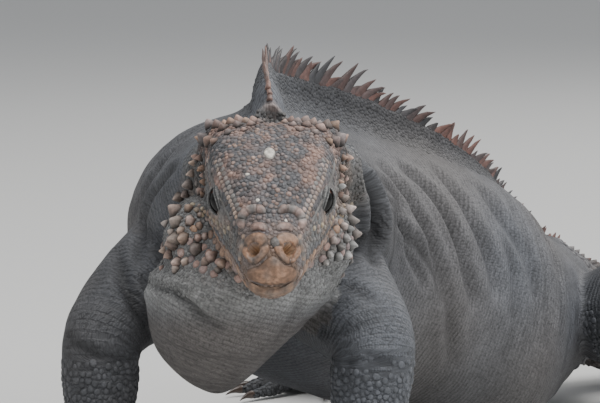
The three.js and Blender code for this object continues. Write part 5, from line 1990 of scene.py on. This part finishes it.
# a tapering horn, deeper than it is wide
clawProfile = [0, 0.15, 0.5, 0.8, 0.94, 1], [1, 1.02, 0.72, 0.38, 0.18, 0.05]
hook = hornTemplate((-0.35, -0.18, 0.0, 0.18, 0.34, 0.44), clawProfile, 0.74, 1)
claw = paws["claw"]
roots = np.array([spot for spot, _ in clawSpots])
ways = np.array([unit(way + floorUp * claw["rise"]) for _, way in clawSpots])
rng = np.random.default_rng(23)
count = len(roots)
sizes = np.tile(
    [claw["radius"], claw["radius"], claw["long"]], (count, 1)
) * rng.uniform(0.9, 1.1, (count, 1))
tints = np.tile(colours["umber"] * 0.8, (count, 1)) * rng.uniform(0.7, 1.4, (count, 1))
clawTint = [0, 0.4, 1], [1.7, 1.0, 0.7]
downs, bends = np.tile(-floorUp, (count, 1)), np.full(count, claw["bend"])
claws = stamp("claws", hook, roots, ways, downs, sizes, tints, clawLook, "claw", clawTint, bends)
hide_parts(*[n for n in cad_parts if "_claw_" in n])

# small scales over the paws, with a row of broad ones down each toe
for hand in pawSkins:
    surface = Surface(hand)
    fixedTop = []
    for fine, name in toeTops:
        if not hand.name.startswith(name):
            continue
        reach = reachOf(fine)
        for far in np.arange(1.2, reach[-1] - 0.5, 2.9):
            spot = np.array([np.interp(far, reach, fine[:, k]) for k in range(3)])
            hit = surface.cast(spot + floorUp * 20, -floorUp)
            if hit:
                fixedTop.append((hit[0], hit[1], 1.75))
    broad = [np.array(v) for v in zip(*fixedTop)]
    pawRadius = lambda points, normals: np.where(points[:, 2] > 1.6, 1.2, 0)
    small = settle(broad[0], broad[2], scatter(surface, pawRadius, 9, crowd=3.5))
    places, normals, radii = (np.concatenate(pair) for pair in zip(broad, small))
    count = len(places)
    tint = toneAt(places) * rng.uniform(0.75, 1.45, count)[:, None]
    heights = np.where(np.arange(count) < len(fixedTop), 0.55, 0.42 * radii)
    name, sharp, lean = hand.name.replace("_skin", "_scales"), np.full(count, 0.15), np.zeros((count, 3))
    mosaic(name, places, normals, radii, heights, sharp, lean, tint, np.ones(count, bool), "skin")
print("paws and claws set:", count)


# Tail: rings of keeled scales, with a ring of longer spiny ones every so often.
tailCoat = {"first": 7.25, "step": 3.75, "whorl": 8, "whorlAt": 5, "wide": 3.3, "last": 632}
rng = np.random.default_rng(63)
tailSites = []
for number, far in enumerate(np.arange(tailCoat["first"], tailCoat["last"], tailCoat["step"])):
    centre, axes, wide, rise, fall, _ = (
        v if isinstance(v, tuple) else v[0] for v in tailSizes(np.array([far]))
    )
    forward, left, up = (a[0] for a in axes)
    girth = 2 * math.pi * 0.5 * (wide + 0.5 * (rise + fall))
    count = max(7, round(girth / tailCoat["wide"]))
    isWhorl = number % tailCoat["whorl"] == tailCoat["whorlAt"]
    for k in range(count):
        a = (k + 0.5 * (number % 2)) * 2 * math.pi / count
        way = left * math.cos(a) + up * math.sin(a)
        if rng.random() > smooth(far, -6, 34):
            continue
        hit = skinNow.cast(centre + way * 70, -way)
        if hit is None or hit[0][2] < 1.0 or np.linalg.norm(hit[0] - centre) > 1.3 * max(wide, rise) + 4:
            continue
        size = min(0.5 * tailCoat["wide"] * 1.12, 0.42 * (wide + 2.4))
        tailSites.append((*hit, max(size, 1.0), isWhorl, -forward))
places, normals, radii, whorl, behind = (np.array(v) for v in zip(*tailSites))
count = len(places)
small = np.clip(radii / 1.85, 0.4, 1)
heights = np.where(whorl, 1.9, 0.7) * small * rng.uniform(0.85, 1.15, count)
tint = toneAt(places) * rng.uniform(0.7, 1.35, count)[:, None]
tint = np.where(whorl[:, None], mix(tint, colours["brownGrey"] * 1.3, 0.4), tint)
lean = behind * np.where(whorl, 0.85, 0.75)[:, None]
sharp = np.where(whorl, 0.9, 0.45)
mosaic("tailScales", places, normals, radii, heights, sharp, lean, tint, np.ones(count, bool), "skin")

# granular scales on the lower limbs, thinning out upwards
limbCoat = {"radius": 1.3, "from": 62, "to": 40}
rng = np.random.default_rng(64)


def limbRadius(points, normals):
    part, _, _ = readSkin(points)
    onLimb = np.isin(part, limbParts)
    chance = smooth(-points[:, 2], -limbCoat["from"], -limbCoat["to"])
    return np.where(onLimb & (points[:, 2] > 4) & (rng.random(len(points)) < chance), limbCoat["radius"], 0)


places, normals, radii = settle(np.zeros((0, 3)), np.zeros(0), scatter(skinNow, limbRadius, 15, crowd=3.5))
count = len(places)
tint = toneAt(places) * rng.uniform(0.8, 1.3, count)[:, None]
sharp, lean = np.full(count, 0.2), -floorUp * np.full((count, 1), 0.3)
mosaic("limbScales", places, normals, radii, radii * 0.34, sharp, lean, tint, np.ones(count, bool), "skin")
print("tail and limb scales:", len(tailSites), count)
